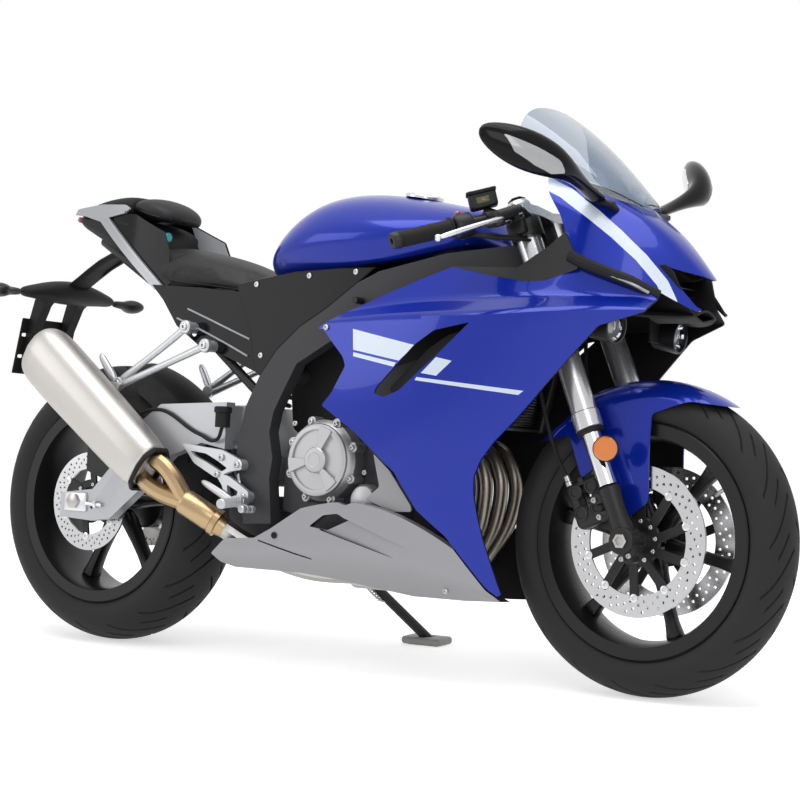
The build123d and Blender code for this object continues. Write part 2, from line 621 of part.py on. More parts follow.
# Exhaust
with BuildPart() as exhaust_headers:
    for y in (-84, -28, 28, 84):
        pipe([(226, y, 468), (306, y, 458), (322, y, 340), (236, y * 0.6, 196), (120, y * 0.45, 190)], 40, 17)
    add(engine_block.part, mode=Mode.SUBTRACT)
keep("exhaust_headers", exhaust_headers)

MUFFLER_Y = -214
muffler_from = Vector(-420, MUFFLER_Y, 390)
muffler_to = Vector(-772, MUFFLER_Y, 655)
MUFFLER = Plane(origin=muffler_from, x_dir=(0, -1, 0), z_dir=muffler_to - muffler_from)
muffler_length = (muffler_to - muffler_from).length
Can = namedtuple("Can", "at wide high corner")
can_table = [Can(0, 84, 112, 20), Can(0.12, 96, 124, 22), Can(0.9, 102, 140, 24),
             Can(1.0, 76, 104, 18)]
with BuildPart() as muffler:
    faces = []
    for c in can_table:
        with BuildSketch(MUFFLER.offset(muffler_length * c.at)) as face:
            RectangleRounded(c.wide, c.high, c.corner)
        faces.append(face.sketch)
    loft(faces, ruled=True)
keep("muffler", muffler)

with BuildPart() as exhaust_link_pipe:
    with Locations((64, 0, 190)):
        Box(112, 110, 52)
    pipe([(30, -20, 190), (-110, -70, 196), (-220, -128, 250), tuple(muffler_from)], 60, 24)
    add(exhaust_headers.part, mode=Mode.SUBTRACT)
    add(muffler.part, mode=Mode.SUBTRACT)
keep("exhaust_link_pipe", exhaust_link_pipe)

# Radiator
with BuildPart() as radiator:
    with Locations(Location((356, 0, 596), (0, 14, 0))):
        Box(34, 290, 190)
    for side in (-1, 1):
        rod((240, side * 60, 600), (345, side * 60, 600), 9)
    add(engine_block.part, mode=Mode.SUBTRACT)
keep("radiator", radiator)

# Tank, its lid and the covers below it
Body = namedtuple("Body", "x base_w base_z side_w side_z top_w top_z crown_z")
tank_table = [
    Body(-256, 66, 822, 74, 836, 60, 848, 852),
    Body(-205, 92, 812, 116, 858, 84, 908, 930),
    Body(-100, 118, 816, 150, 884, 104, 966, 994),
    Body(20, 136, 822, 168, 890, 108, 972, 1001),
    Body(150, 136, 836, 166, 896, 98, 958, 980),
    Body(296, 90, 868, 112, 902, 66, 938, 950),
]
with BuildPart() as fuel_tank:
    rounded(tank_table)
    lid_plane = Plane(origin=(LID_X, 0, 977), x_dir=(1, 0, -0.15), z_dir=(0.15, 0, 1))
    with Locations(lid_plane):
        Cylinder(LID_RADIUS + 3, 60, align=(Align.CENTER, Align.CENTER, Align.MIN), mode=Mode.SUBTRACT)
keep("fuel_tank", fuel_tank)

with BuildPart() as fuel_lid:
    with Locations(lid_plane.offset(FIT)):
        Cylinder(LID_RADIUS, LID_THICK, align=(Align.CENTER, Align.CENTER, Align.MIN))
keep("fuel_lid", fuel_lid)

with BuildPart() as tank_side_covers:
    slab([(-256, 790), (-190, 802), (-100, 815.6), (20, 821.5), (110, 821.5)]
         + [(x - FIT, z + FIT) for x, z in spar_side[1:6]] + [(-196, 606), (-216, 700)],
         SPAR_IN + 2, SPAR_OUT - 2)
    mirror(about=MIDDLE)
keep("tank_side_covers", tank_side_covers)

# Seats
seat_table = [
    Body(-524, 96, 802, 112, 826, 92, 858, 866),
    Body(-440, 110, 800, 132, 836, 104, 874, 884),
    Body(-330, 104, 792, 122, 822, 90, 852, 858),
    Body(-240, 76, 792, 86, 812, 62, 832, 836),
    Body(-196, 58, 796, 64, 804, 50, 812, 814),
]
with BuildPart() as rider_seat:
    rounded(seat_table)
    add(subframe.part, mode=Mode.SUBTRACT)
    add(fuel_tank.part, mode=Mode.SUBTRACT)
keep("rider_seat", rider_seat)

# Covers that close the sides below the seat, back to the rails' joint
cover_side = [(-520, 797), (-373, 788), (-262, 776), (-226, 690), (-212, 606), (-300, 640),
              (-372, 660), (-442, 706), (-484, 762)]
with BuildPart() as seat_side_covers:
    slab(cover_side, SPAR_IN + 2, SPAR_IN + 2 + COVER_THICK)
    rod((HANGER_X, -RAIL_Y, HANGER_Z), (HANGER_X, -THROUGH, HANGER_Z), HANGER_PIN + TRIM, mode=Mode.SUBTRACT)
    mirror(about=MIDDLE)
keep("seat_side_covers", seat_side_covers)

# Tail: a core between two fins, the pillion's seat on top
Tail = namedtuple("Tail", "x half low high")
tail_table = [Tail(-526, 106, 806, 928), Tail(-620, 100, 846, 956), Tail(-720, 80, 898, 972),
              Tail(-806, 50, 930, 974)]
with BuildPart() as tail_core:
    faces = []
    for t in tail_table:
        with BuildSketch(Plane.YZ.offset(t.x)) as face:
            with BuildLine():
                right = [(t.half * 0.6, t.low), (t.half, t.low + 26), (t.half, t.high - 10),
                         (t.half - 10, t.high)]
                Polyline(*right, *[(-y, z) for y, z in reversed(right)], close=True)
            make_face()
        faces.append(face.sketch)
    loft(faces, ruled=True)
    add(subframe.part, mode=Mode.SUBTRACT)
keep("tail_core", tail_core)

fin_side = [(-828, 978), (-724, 1002), (-652, 1008), (-700, 955), (-530, 800), (-560, 798),
            (-668, 852), (-716, 886), (-746, 909)]
FIN = 5
with BuildPart() as tail_fins:
    faces = []
    for t in tail_table + [Tail(-840, 38, 0, 0)]:
        with BuildSketch(Plane.YZ.offset(t.x)) as face:
            with BuildLine():
                Polyline((-t.half - FIT, 780), (-t.half - FIT, 1020), (-t.half - FIT - FIN, 1020),
                         (-t.half - FIT - FIN, 780), close=True)
            make_face()
        faces.append(face.sketch)
    loft(faces, ruled=True)
    slab(fin_side, 0, 200, mode=Mode.INTERSECT)
    mirror(about=MIDDLE)
keep("tail_fins", tail_fins)

pillion_table = [
    Body(-470, 62, 932, 70, 940, 60, 950, 954),
    Body(-530, 84, 929 + FIT, 96, 952, 80, 980, 990),
    Body(-600, 80, 951, 90, 972, 74, 994, 1005),
    Body(-656, 62, 962.5, 68, 974, 54, 986, 992),
]
with BuildPart() as pillion_seat:
    rounded(pillion_table)
    add(tail_core.part, mode=Mode.SUBTRACT)
keep("pillion_seat", pillion_seat)

with BuildPart() as tail_lamp:
    with Locations((-806 - FIT, 0, 960)):
        Box(20, 84, 22, align=(Align.MAX, Align.CENTER, Align.CENTER))
keep("tail_lamp", tail_lamp)

# Number-plate holder with its blank plate, and the rear indicators on their stalks
PLATE_HALF = 90
holder_side = [(-650, 858), (-716, 892), (-760, 912), (-868, 822), (-925, 806), (-955, 705),
               (-978, 600), (-966, 597), (-938, 700), (-905, 775), (-850, 792), (-760, 870)]
with BuildPart() as plate_holder:
    slab(holder_side, -34, 34)
    with Locations(Location((-962, 0, 664), (0, 12, 0))):
        Box(6, 2 * PLATE_HALF, 138)
    with Locations(Location((-962, -73, 664), (0, 102, 0)), Location((-962, 73, 664), (0, 102, 0))):
        Cylinder(3, 60, mode=Mode.SUBTRACT)
    add(tail_core.part, mode=Mode.SUBTRACT)
    add(subframe.part, mode=Mode.SUBTRACT)
keep("plate_holder", plate_holder)

with BuildPart() as rear_indicators:
    rod((-895, -34 - FIT, 790), (-895, -205, 782), 7)
    faces = []
    for y, long, high in ((-200, 44, 20), (-216, 62, 36), (-250, 54, 26)):
        with BuildSketch(MIDDLE.offset(-y)) as face:
            with Locations((-895, 781)):
                RectangleRounded(long, high, high / 3)
        faces.append(face.sketch)
    loft(faces, ruled=True)
    mirror(about=MIDDLE)
    add(plate_holder.part, mode=Mode.SUBTRACT)
keep("rear_indicators", rear_indicators)

# Nose, windscreen and what they carry
Nose = namedtuple("Nose", "x edge_w edge_z line_w line_z shoulder_w shoulder_z top_z")
nose_table = [
    Nose(430, 176, 900, 160, 985, 100, 1040, 1060),
    Nose(540, 180, 840, 142, 945, 90, 1000, 1015),
    Nose(640, 168, 780, 114, 885, 70, 935, 945),
    Nose(720, 140, 745, 84, 815, 50, 880, 893),
    Nose(796, 64, 716, 46, 745, 25, 790, 798),
]
nose_side = [(438, 1003), (498, 976), (544, 912), (569, 862), (586, 830), (640, 806), (701, 781),
             (752, 752), (796, 732), (806, 740), (806, 800), (760, 880), (700, 915), (664, 934)]
with BuildPart() as nose_cowl:
    faces = []
    for n in nose_table:
        half = [(n.edge_w, n.edge_z), (n.line_w, n.line_z), (n.shoulder_w, n.shoulder_z)]
        outer = [(-w, z) for w, z in half] + [(0, n.top_z)] + [(w, z) for w, z in reversed(half)]
        inner = [(y * (1 - WALL / n.edge_w), z - WALL) for y, z in reversed(outer)]
        with BuildSketch(Plane.YZ.offset(n.x)) as face:
            with BuildLine():
                Polyline(*outer, *inner, close=True)
            make_face()
        faces.append(face.sketch)
    loft(faces, ruled=True)
    slab(nose_side, -300, 300, mode=Mode.INTERSECT)
keep("nose_cowl", nose_cowl)

screen_table = [(664, 34, 936, 944), (560, 116, 966, 1046), (480, 140, 991, 1114),
                (432, 146, 1006, 1145)]
with BuildPart() as windscreen:
    faces = []
    for x, half, low, top in screen_table:
        with BuildSketch(Plane.YZ.offset(x)) as face:
            with BuildLine():
                ThreePointArc((-half, low), (0, top), (half, low))
                Line((half, low), (half - 4, low))
                ThreePointArc((half - 4, low), (0, top - 4), (4 - half, low))
                Line((4 - half, low), (-half, low))
            make_face()
        faces.append(face.sketch)
    loft(faces)
    add(nose_cowl.part, mode=Mode.SUBTRACT)
keep("windscreen", windscreen)

# Side fairing, right side: a creased shell cut to its outline, with the large vent
fair_sections = [
    (-30, [(-150, 790), (-176, 716), (-190, 700), (-196, 560), (-176, 380)]),
    (150, [(-146, 850), (-182, 742), (-214, 718), (-226, 560), (-196, 320)]),
    (300, [(-140, 850), (-184, 748), (-238, 722), (-238, 540), (-160, 160)]),
    (450, [(-144, 850), (-188, 750), (-240, 722), (-216, 540), (-118, 140)]),
    (600, [(-168, 830), (-184, 758), (-228, 730), (-186, 610), (-130, 440)]),
    (760, [(-104, 790), (-114, 750), (-150, 732), (-120, 690), (-100, 620)]),
]
fair_side = [(7, 692), (61, 724), (164, 765), (273, 806), (304, 817), (375, 802), (482, 783),
             (533, 784), (574, 800), (604, 820), (640, 804), (701, 779), (745, 753), (742, 726),
             (658, 697), (639, 671), (603, 639), (564, 597), (484, 551), (455, 524), (430, 498),
             (404, 470), (380, 440), (368, 407), (366, 358), (380, 315), (400, 251), (418, 204),
             (436, 167), (405, 190), (330, 286), (268, 335), (257, 364), (219, 408), (170, 447),
             (121, 484), (71, 515), (29, 536), (58, 563), (93, 616), (84, 634), (48, 658), (23, 690)]
fair_vent = [(405, 700), (322, 685), (274, 657), (226, 616), (180, 574), (173, 562), (198, 554),
             (236, 567), (270, 595), (325, 634)]
with BuildPart() as side_fairing_right:
    skin(fair_sections, (WALL, -WALL))
    slab(fair_side, 0, 400, mode=Mode.INTERSECT)
    slab(fair_vent, 0, 400, mode=Mode.SUBTRACT)
    add(nose_cowl.part, mode=Mode.SUBTRACT)
keep("side_fairing_right", side_fairing_right)

with BuildPart() as side_fairing_left:
    mirror(side_fairing_right.part, about=MIDDLE)
keep("side_fairing_left", side_fairing_left)

belly_sections = [
    (-262, [(-176, 266), (-172, 226), (-130, 188)]),
    (-100, [(-178, 300), (-172, 232), (-96, 168)]),
    (100, [(-178, 366), (-168, 250), (-62, 150)]),
    (300, [(-164, 300), (-148, 220), (-50, 148)]),
    (440, [(-124, 190), (-112, 172), (-60, 150)]),
]
belly_side = [(-257, 221), (-218, 254), (-139, 259), (-96, 280), (-7, 331), (35, 351), (95, 336),
              (126, 349), (214, 325), (262, 334), (328, 280), (403, 186), (432, 165), (328, 160),
              (203, 160), (15, 186), (-48, 192), (-214, 194), (-244, 203)]
with BuildPart() as belly_pan_right:
    skin(belly_sections, (WALL, WALL))
    slab(belly_side, 0, 400, mode=Mode.INTERSECT)
    add(side_fairing_right.part, mode=Mode.SUBTRACT)
keep("belly_pan_right", belly_pan_right)

with BuildPart() as belly_pan_left:
    mirror(belly_pan_right.part, about=MIDDLE)
    with Locations((-300, 130, 220)):
        Box(420, 200, 300, mode=Mode.SUBTRACT)
keep("belly_pan_left", belly_pan_left)

# Brackets that carry the panels: from engine, frame and radiator out to each panel's inner face
Bracket = namedtuple("Bracket", "x z inner outer")
bracket_table = [
    Bracket(80, 752, SPAR_OUT, 176),
    Bracket(352, 640, 145, 234),
    Bracket(120, 300, ENGINE_HALF, 171),
    Bracket(-40, 280, ENGINE_HALF, 172),
]
with BuildPart() as panel_brackets:
    for b in bracket_table:
        rod((b.x, -b.inner + 2, b.z), (b.x, -b.outer, b.z), 7)
    mirror(about=MIDDLE)
    for piece in (main_frame, engine_block, radiator, side_fairing_right, side_fairing_left, belly_pan_right,
                  belly_pan_left):
        add(piece.part, mode=Mode.SUBTRACT)
keep("panel_brackets", panel_brackets)

# Stay from the head tube to the nose, with the instruments on it
STAY_LONG = 170
STAY_WIDE = 44
STAY_HIGH = 30
STAY_ROD = 9
STAY_HALF = 166
stay_at = head_at + Vector(14, 0, 26)
cross_at = stay_at + Vector(158, 0, 0)
dial_foot = stay_at + Vector(112, 0, 0)
dial_at = stay_at + Vector(80, 0, 112)
with BuildPart() as fairing_stay:
    with Locations(tuple(stay_at)):
        Box(STAY_LONG, STAY_WIDE, STAY_HIGH, align=(Align.MIN, Align.CENTER, Align.CENTER))
    rod(tuple(cross_at - Vector(0, STAY_HALF, 0)), tuple(cross_at + Vector(0, STAY_HALF, 0)), STAY_ROD)
    rod(tuple(dial_foot), tuple(dial_at + Vector(4, 0, -22)), STAY_ROD)
    add(main_frame.part, mode=Mode.SUBTRACT)
    add(nose_cowl.part, mode=Mode.SUBTRACT)
keep("fairing_stay", fairing_stay)

with BuildPart() as instrument_panel:
    with Locations(Location(tuple(dial_at), (0, -38, 0))):
        Box(26, 150, 76)
    add(fairing_stay.part, mode=Mode.SUBTRACT)
keep("instrument_panel", instrument_panel)

with BuildPart() as nose_duct:
    slab([(700, 770), (770, 790), (800, 730), (700, 730)], -44, 44)
    rod((cross_at.X + STAY_ROD + FIT, 0, 780), (705, 0, 760), 12)
    add(nose_cowl.part, mode=Mode.SUBTRACT)
    add(fairing_stay.part, mode=Mode.SUBTRACT)
keep("nose_duct", nose_duct)

with BuildPart() as headlamps:
    rod((606, -122, 706), (664, -126, 700), 30)
    rod((636, -126, 712), (640, -152, 816), 8)
    mirror(about=MIDDLE)
    add(nose_cowl.part, mode=Mode.SUBTRACT)
    add(side_fairing_right.part, mode=Mode.SUBTRACT)
    add(side_fairing_left.part, mode=Mode.SUBTRACT)
keep("headlamps", headlamps)

mirror_in = Vector(618, -276, 988)
mirror_tip = Vector(516, -408, 1038)
MIRROR = Plane(origin=mirror_in, x_dir=(0.62, -0.5, -0.3), z_dir=mirror_tip - mirror_in)
Lobe = namedtuple("Lobe", "at deep high corner")
lobe_table = [Lobe(0, 30, 40, 10), Lobe(0.3, 52, 72, 16), Lobe(0.7, 48, 66, 16), Lobe(1, 16, 24, 7)]
with BuildPart() as mirrors:
    faces = []
    for lobe in lobe_table:
        with BuildSketch(MIRROR.offset((mirror_tip - mirror_in).length * lobe.at)) as face:
            RectangleRounded(lobe.deep, lobe.high, lobe.corner)
        faces.append(face.sketch)
    loft(faces)
    rod((600, -104, 944), tuple(mirror_in + (mirror_tip - mirror_in) * 0.12), 10)
    mirror(about=MIDDLE)
    add(nose_cowl.part, mode=Mode.SUBTRACT)
keep("mirrors", mirrors)

# Footrests
bracket_side = [(-232, 436), (-330, 440), (-300, 380), (-215, 330), (-180, 318), (-165, 345),
                (-205, 378)]
with BuildPart() as footrest_brackets:
    slab(bracket_side, SPAR_OUT + FIT + 12, SPAR_OUT + FIT + 22)
    rod((-212, -SPAR_OUT - FIT, 420), (-212, -SPAR_OUT - 14, 420), 9)
    rod((-184, -SPAR_OUT - FIT, 345), (-184, -SPAR_OUT - 14, 345), 9)
    mirror(about=MIDDLE)
keep("footrest_brackets", footrest_brackets)

with BuildPart() as footrests:
    rod((-186, -SPAR_OUT - 22, 336), (-172, -266, 326), 10)
    mirror(about=MIDDLE)
    add(footrest_brackets.part, mode=Mode.SUBTRACT)
keep("footrests", footrests)

with BuildPart() as foot_controls:
    pipe([(-300, -SPAR_OUT - 29, 404), (-236, -SPAR_OUT - 29, 376), (-60, -SPAR_OUT - 31, 372)], 20, 6)
    rod((-62, -SPAR_OUT - 31, 372), (-62, -228, 372), 7)
    mirror(about=MIDDLE)
keep("foot_controls", foot_controls)

hanger_side = [(-389, 703), (-330, 660), (-480, 610), (-583, 560), (-572, 590), (-480, 660)]
with BuildPart() as pillion_hangers:
    slab(hanger_side, 148, 156)
    rod((HANGER_X, -RAIL_Y, HANGER_Z), (HANGER_X, -152, HANGER_Z), HANGER_PIN)
    rod((-540, -156 - FIT, 590), (-530, -230, 590), 9)
    mirror(about=MIDDLE)
    add(subframe.part, mode=Mode.SUBTRACT)
keep("pillion_hangers", pillion_hangers)

# Lean everything over on to the stand and set the origin under the middle
lean_over = Location((0, 0, 0), (-LEAN, 0, 0))
boxes = [piece.moved(lean_over).bounding_box() for piece in PIECES.values()]
low_x = min(box.min.X for box in boxes)
high_x = max(box.max.X for box in boxes)
low_y = min(box.min.Y for box in boxes)
high_y = max(box.max.Y for box in boxes)
low_z = min(box.min.Z for box in boxes)
high_z = max(box.max.Z for box in boxes)
STANDING = Location((-(low_x + high_x) / 2, -(low_y + high_y) / 2, -low_z)) * lean_over
os.makedirs("parts", exist_ok=True)
for label, piece in PIECES.items():
    placed = piece.moved(STANDING)
    placed.label = label
    export_step(placed, f"parts/{label}.step")
print("size", high_x - low_x, high_y - low_y, high_z - low_z, "shift", STANDING.position)
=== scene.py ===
"""Looks of a fully faired sport motorcycle, parked on its side stand.

Every new piece is drawn upright in millimetres: X forward, Y to the rider's left, Z up from the ground,
X = 0 midway between the axles. STANDING then leans it over and sets it on the frame, in metres.
"""
import math

import bmesh
import bpy
from mathutils import Matrix, Vector
from mathutils.bvhtree import BVHTree


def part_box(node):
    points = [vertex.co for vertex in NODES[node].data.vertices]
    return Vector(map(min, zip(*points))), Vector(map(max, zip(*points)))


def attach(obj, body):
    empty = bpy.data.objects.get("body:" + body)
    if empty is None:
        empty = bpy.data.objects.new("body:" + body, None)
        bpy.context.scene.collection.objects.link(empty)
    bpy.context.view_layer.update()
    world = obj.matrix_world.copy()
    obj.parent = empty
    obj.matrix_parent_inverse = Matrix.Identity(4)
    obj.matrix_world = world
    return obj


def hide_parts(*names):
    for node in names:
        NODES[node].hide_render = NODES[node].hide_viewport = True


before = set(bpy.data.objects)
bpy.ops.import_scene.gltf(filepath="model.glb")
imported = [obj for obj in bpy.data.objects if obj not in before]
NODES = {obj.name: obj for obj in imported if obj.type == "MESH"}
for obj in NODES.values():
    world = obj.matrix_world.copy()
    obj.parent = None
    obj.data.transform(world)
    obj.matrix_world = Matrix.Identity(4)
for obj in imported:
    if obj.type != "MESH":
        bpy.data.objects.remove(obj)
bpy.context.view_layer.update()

# The machine's stance, as its solids have it
LEAN = math.radians(6)
FRONT_AXLE = Vector((690, 0, 298))
REAR_AXLE = Vector((-690, 0, 312))
RAKE = math.radians(23)
FORK_OFFSET = 30
FORK_HALF = 105
FORK_ACROSS = Vector((math.cos(RAKE), 0, math.sin(RAKE)))
FORK_ALONG = Vector((-math.sin(RAKE), 0, math.cos(RAKE)))
OUTWARD = Vector((0, -1, 0))
UPWARD = Vector((0, 0, 1))
lean_over = Matrix.Rotation(-LEAN, 4, "X") @ Matrix.Scale(0.001, 4)
axle_low, axle_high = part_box("front_axle")
STANDING = Matrix.Translation((axle_low + axle_high) / 2 - lean_over @ FRONT_AXLE) @ lean_over
UPRIGHT = STANDING.inverted()


# Modelling helpers: everything is drawn in the upright millimetre frame
PIN_EDGE = 1.5
LIMB_POINTS = 8
LIMB_FULLNESS = 0.57


def loop(mesh, points, closed=True):
    # A chain of edges through the points
    verts = [mesh.verts.new(point) for point in points]
    pairs = list(zip(verts, verts[1:]))
    if closed:
        pairs.append((verts[-1], verts[0]))
    return verts, [mesh.edges.new(pair) for pair in pairs]


def cage(rows, closed=False, caps=False, creases=()):
    # A skin bridged over rows of points; creases are (place in the row, sharpness)
    mesh = bmesh.new()
    sharpness = mesh.edges.layers.float.new("crease_edge")
    chains = [loop(mesh, row, closed) for row in rows]
    for (_, near), (_, far) in zip(chains, chains[1:]):
        bmesh.ops.bridge_loops(mesh, edges=near + far)
    if caps:
        for verts, _ in (chains[0], chains[-1]):
            mesh.faces.new(verts)
    for place, sharp in creases:
        for (near, _), (far, _) in zip(chains, chains[1:]):
            edge = mesh.edges.get((near[place], far[place]))
            if edge:
                edge[sharpness] = sharp
    bmesh.ops.recalc_face_normals(mesh, faces=mesh.faces)
    return mesh


def prism(outline, near, far, corner=0.0):
    # A side-view outline of (x, z) made thick from y = near to y = far
    mesh = bmesh.new()
    face = mesh.faces.new([mesh.verts.new((x, near, z)) for x, z in outline])
    if corner:
        bmesh.ops.bevel(mesh, geom=list(mesh.verts), offset=corner, affect="VERTICES", segments=4,
                        profile=0.5, material=-1, offset_type="OFFSET")
        face = mesh.faces[:][0]
    made = bmesh.ops.extrude_face_region(mesh, geom=[face])
    moved = [item for item in made["geom"] if isinstance(item, bmesh.types.BMVert)]
    bmesh.ops.translate(mesh, vec=(0, far - near, 0), verts=moved)
    bmesh.ops.recalc_face_normals(mesh, faces=mesh.faces)
    return mesh


def prism_ahead(outline, near, far, corner=0.0):
    # A front-view outline of (y, z) made thick from x = near to x = far
    mesh = prism(outline, near, far, corner)
    swap = Matrix(((0, 1, 0, 0), (1, 0, 0, 0), (0, 0, 1, 0), (0, 0, 0, 1)))
    bmesh.ops.transform(mesh, matrix=swap, verts=mesh.verts)
    bmesh.ops.recalc_face_normals(mesh, faces=mesh.faces)
    return mesh


def lathe(profile, centre, steps, closed=True):
    # A profile of (offset along the axle, radius) turned round an axle along y
    mesh = bmesh.new()
    points = [(centre[0], centre[1] + along, centre[2] + radius) for along, radius in profile]
    verts, edges = loop(mesh, points, closed)
    bmesh.ops.spin(mesh, geom=verts + edges, cent=centre, axis=(0, 1, 0), angle=math.tau, steps=steps,
                   use_merge=True)
    bmesh.ops.remove_doubles(mesh, verts=mesh.verts, dist=0.001)
    bmesh.ops.recalc_face_normals(mesh, faces=mesh.faces)
    return mesh


def turned(profile, start, end, steps=32):
    # A solid of revolution along any line: profile is (distance along the line, radius)
    way = Vector(end) - Vector(start)
    mesh = bmesh.new()
    verts, edges = loop(mesh, [(radius, 0, along) for along, radius in profile], False)
    bmesh.ops.spin(mesh, geom=verts + edges, cent=(0, 0, 0), axis=(0, 0, 1), angle=math.tau, steps=steps,
                   use_merge=True)
    bmesh.ops.remove_doubles(mesh, verts=mesh.verts, dist=0.001)
    bmesh.ops.holes_fill(mesh, edges=[edge for edge in mesh.edges if edge.is_boundary], sides=0)
    bmesh.ops.recalc_face_normals(mesh, faces=mesh.faces)
    turn = way.to_track_quat("Z", "Y").to_matrix().to_4x4()
    bmesh.ops.transform(mesh, matrix=Matrix.Translation(start) @ turn, verts=mesh.verts)
    return mesh


def pin(start, end, radius):
    # A round bar with softened ends
    length = (Vector(end) - Vector(start)).length
    edge = min(PIN_EDGE, radius / 2, length / 3)
    profile = [(0, radius - edge), (edge, radius), (length - edge, radius), (length, radius - edge)]
    return turned(profile, start, end, 24)


def hose(points, radius, sides=12):
    # A round tube along a curve through the points
    curve = bpy.data.curves.new("hose", "CURVE")
    curve.dimensions = "3D"
    curve.bevel_depth = radius
    curve.bevel_resolution = sides // 4
    curve.resolution_u = 12
    curve.use_fill_caps = True
    spline = curve.splines.new("BEZIER")
    spline.bezier_points.add(len(points) - 1)
    for knot, point in zip(spline.bezier_points, points):
        knot.co = point
        knot.handle_left_type = knot.handle_right_type = "AUTO"
    holder = bpy.data.objects.new("hose", curve)
    bpy.context.scene.collection.objects.link(holder)
    mesh = bmesh.new()
    data = bpy.data.meshes.new_from_object(holder.evaluated_get(bpy.context.evaluated_depsgraph_get()))
    mesh.from_mesh(data)
    bpy.data.objects.remove(holder)
    bpy.data.meshes.remove(data)
    bpy.data.curves.remove(curve)
    bmesh.ops.remove_doubles(mesh, verts=mesh.verts, dist=0.001)
    bmesh.ops.recalc_face_normals(mesh, faces=mesh.faces)
    return mesh


def block(size, at, turn=(0, 0, 0), corner=3.0, segments=2):
    # A box with rounded edges
    mesh = bmesh.new()
    bmesh.ops.create_cube(mesh, size=1)
    bmesh.ops.scale(mesh, vec=size, verts=mesh.verts)
    bmesh.ops.bevel(mesh, geom=mesh.edges[:], offset=corner, affect="EDGES", segments=segments, profile=0.5,
                    material=-1)
    angles = [math.radians(angle) for angle in turn]
    place = Matrix.Translation(at)
    for angle, axis in reversed(list(zip(angles, "XYZ"))):
        place = place @ Matrix.Rotation(angle, 4, axis)
    bmesh.ops.transform(mesh, matrix=place, verts=mesh.verts)
    return mesh


def bolt(at, way, radius=5.0, high=4.0):
    # A socket-head screw: domed head with a sunk socket
    start = Vector(at)
    end = start + Vector(way).normalized() * high
    return turned([(0, radius), (high * 0.7, radius), (high, radius * 0.8), (high, radius * 0.45),
                   (high * 0.35, radius * 0.42), (high * 0.35, 0.01)], start, end, 16)


def mirrored(mesh):
    # Adds the left-hand twin of a right-hand mesh
    bmesh.ops.mirror(mesh, geom=mesh.verts[:] + mesh.edges[:] + mesh.faces[:], axis="Y", merge_dist=-1.0)
    bmesh.ops.recalc_face_normals(mesh, faces=mesh.faces)
    return mesh


def flipped(mesh):
    # The left-hand twin alone
    bmesh.ops.scale(mesh, vec=(1, -1, 1), verts=mesh.verts)
    bmesh.ops.reverse_faces(mesh, faces=mesh.faces[:])
    return mesh


def joined(*meshes):
    whole = bmesh.new()
    for mesh in meshes:
        data = bpy.data.meshes.new("joined")
        mesh.to_mesh(data)
        mesh.free()
        whole.from_mesh(data)
        bpy.data.meshes.remove(data)
    return whole


def place_object(name, mesh):
    data = bpy.data.meshes.new(name)
    mesh.to_mesh(data)
    mesh.free()
    obj = bpy.data.objects.new(name, data)
    bpy.context.scene.collection.objects.link(obj)
    return obj


def worked(mesh, *steps):
    # The mesh after the given modifiers, each a (kind, settings) pair
    obj = place_object("worked", mesh)
    for kind, settings in steps:
        step = obj.modifiers.new(kind, kind)
        for label, value in settings.items():
            setattr(step, label, value)
    data = bpy.data.meshes.new_from_object(obj.evaluated_get(bpy.context.evaluated_depsgraph_get()))
    result = bmesh.new()
    result.from_mesh(data)
    old = obj.data
    bpy.data.objects.remove(obj)
    bpy.data.meshes.remove(old)
    bpy.data.meshes.remove(data)
    return result


def smoothed(mesh, levels):
    return worked(mesh, ("SUBSURF", {"levels": levels, "render_levels": levels}))


def limb(stations, up=UPWARD):
    # A rounded body through stations of (point, wide, high), its rings set across the way between them
    points = [Vector(point) for point, _, _ in stations]
    rows = []
    for number, (_, wide, high) in enumerate(stations):
        way = points[min(number + 1, len(points) - 1)] - points[max(number - 1, 0)]
        side = way.cross(Vector(up)).normalized() * wide * LIMB_FULLNESS
        rise = side.cross(way).normalized() * high * LIMB_FULLNESS
        angles = [math.tau * (step + 0.5) / LIMB_POINTS for step in range(LIMB_POINTS)]
        rows.append([points[number] + side * math.cos(angle) + rise * math.sin(angle) for angle in angles])
    return smoothed(cage(rows, closed=True, caps=True), 2)


def rounded_rows(table):
    # Rings of (x, base half, base z, side half, side z, top half, top z, crown z)
    rows = []
    for x, base_w, base_z, side_w, side_z, top_w, top_z, crown in table:
        half = [(base_w, base_z), (side_w, side_z), (top_w, top_z)]
        rows.append([(x, 0, base_z)] + [(x, -w, z) for w, z in half] + [(x, 0, crown)]
                    + [(x, w, z) for w, z in reversed(half)])
    return rows


def cut(mesh, cutter, operation="DIFFERENCE"):
    tool = place_object("tool", cutter)
    result = worked(mesh, ("BOOLEAN", {"object": tool, "operation": operation, "solver": "EXACT"}))
    data = tool.data
    bpy.data.objects.remove(tool)
    bpy.data.meshes.remove(data)
    return result


def shell(mesh, thick):
    # Gives a skin its thickness, inward from the drawn side
    return worked(mesh, ("SOLIDIFY", {"thickness": thick, "offset": -1.0, "use_even_offset": True}))


def piece(name, mesh, material, body, replaces=(), sharp=32.0, edge=0.0, lean=True):
    # Leans a finished mesh over, hangs it on a body and gives it its finish
    if lean:
        bmesh.ops.transform(mesh, matrix=STANDING, verts=mesh.verts)
    obj = place_object(name, mesh)
    obj.data.materials.append(material)
    obj.data.shade_smooth()
    obj.data.set_sharp_from_angle(angle=math.radians(sharp))
    if edge:
        rim = obj.modifiers.new("edge", "BEVEL")
        rim.width = edge
        rim.segments = 2
        rim.limit_method = "ANGLE"
        rim.angle_limit = math.radians(35)
        rim.harden_normals = True
    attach(obj, body)
    if replaces:
        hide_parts(*replaces)
    return obj


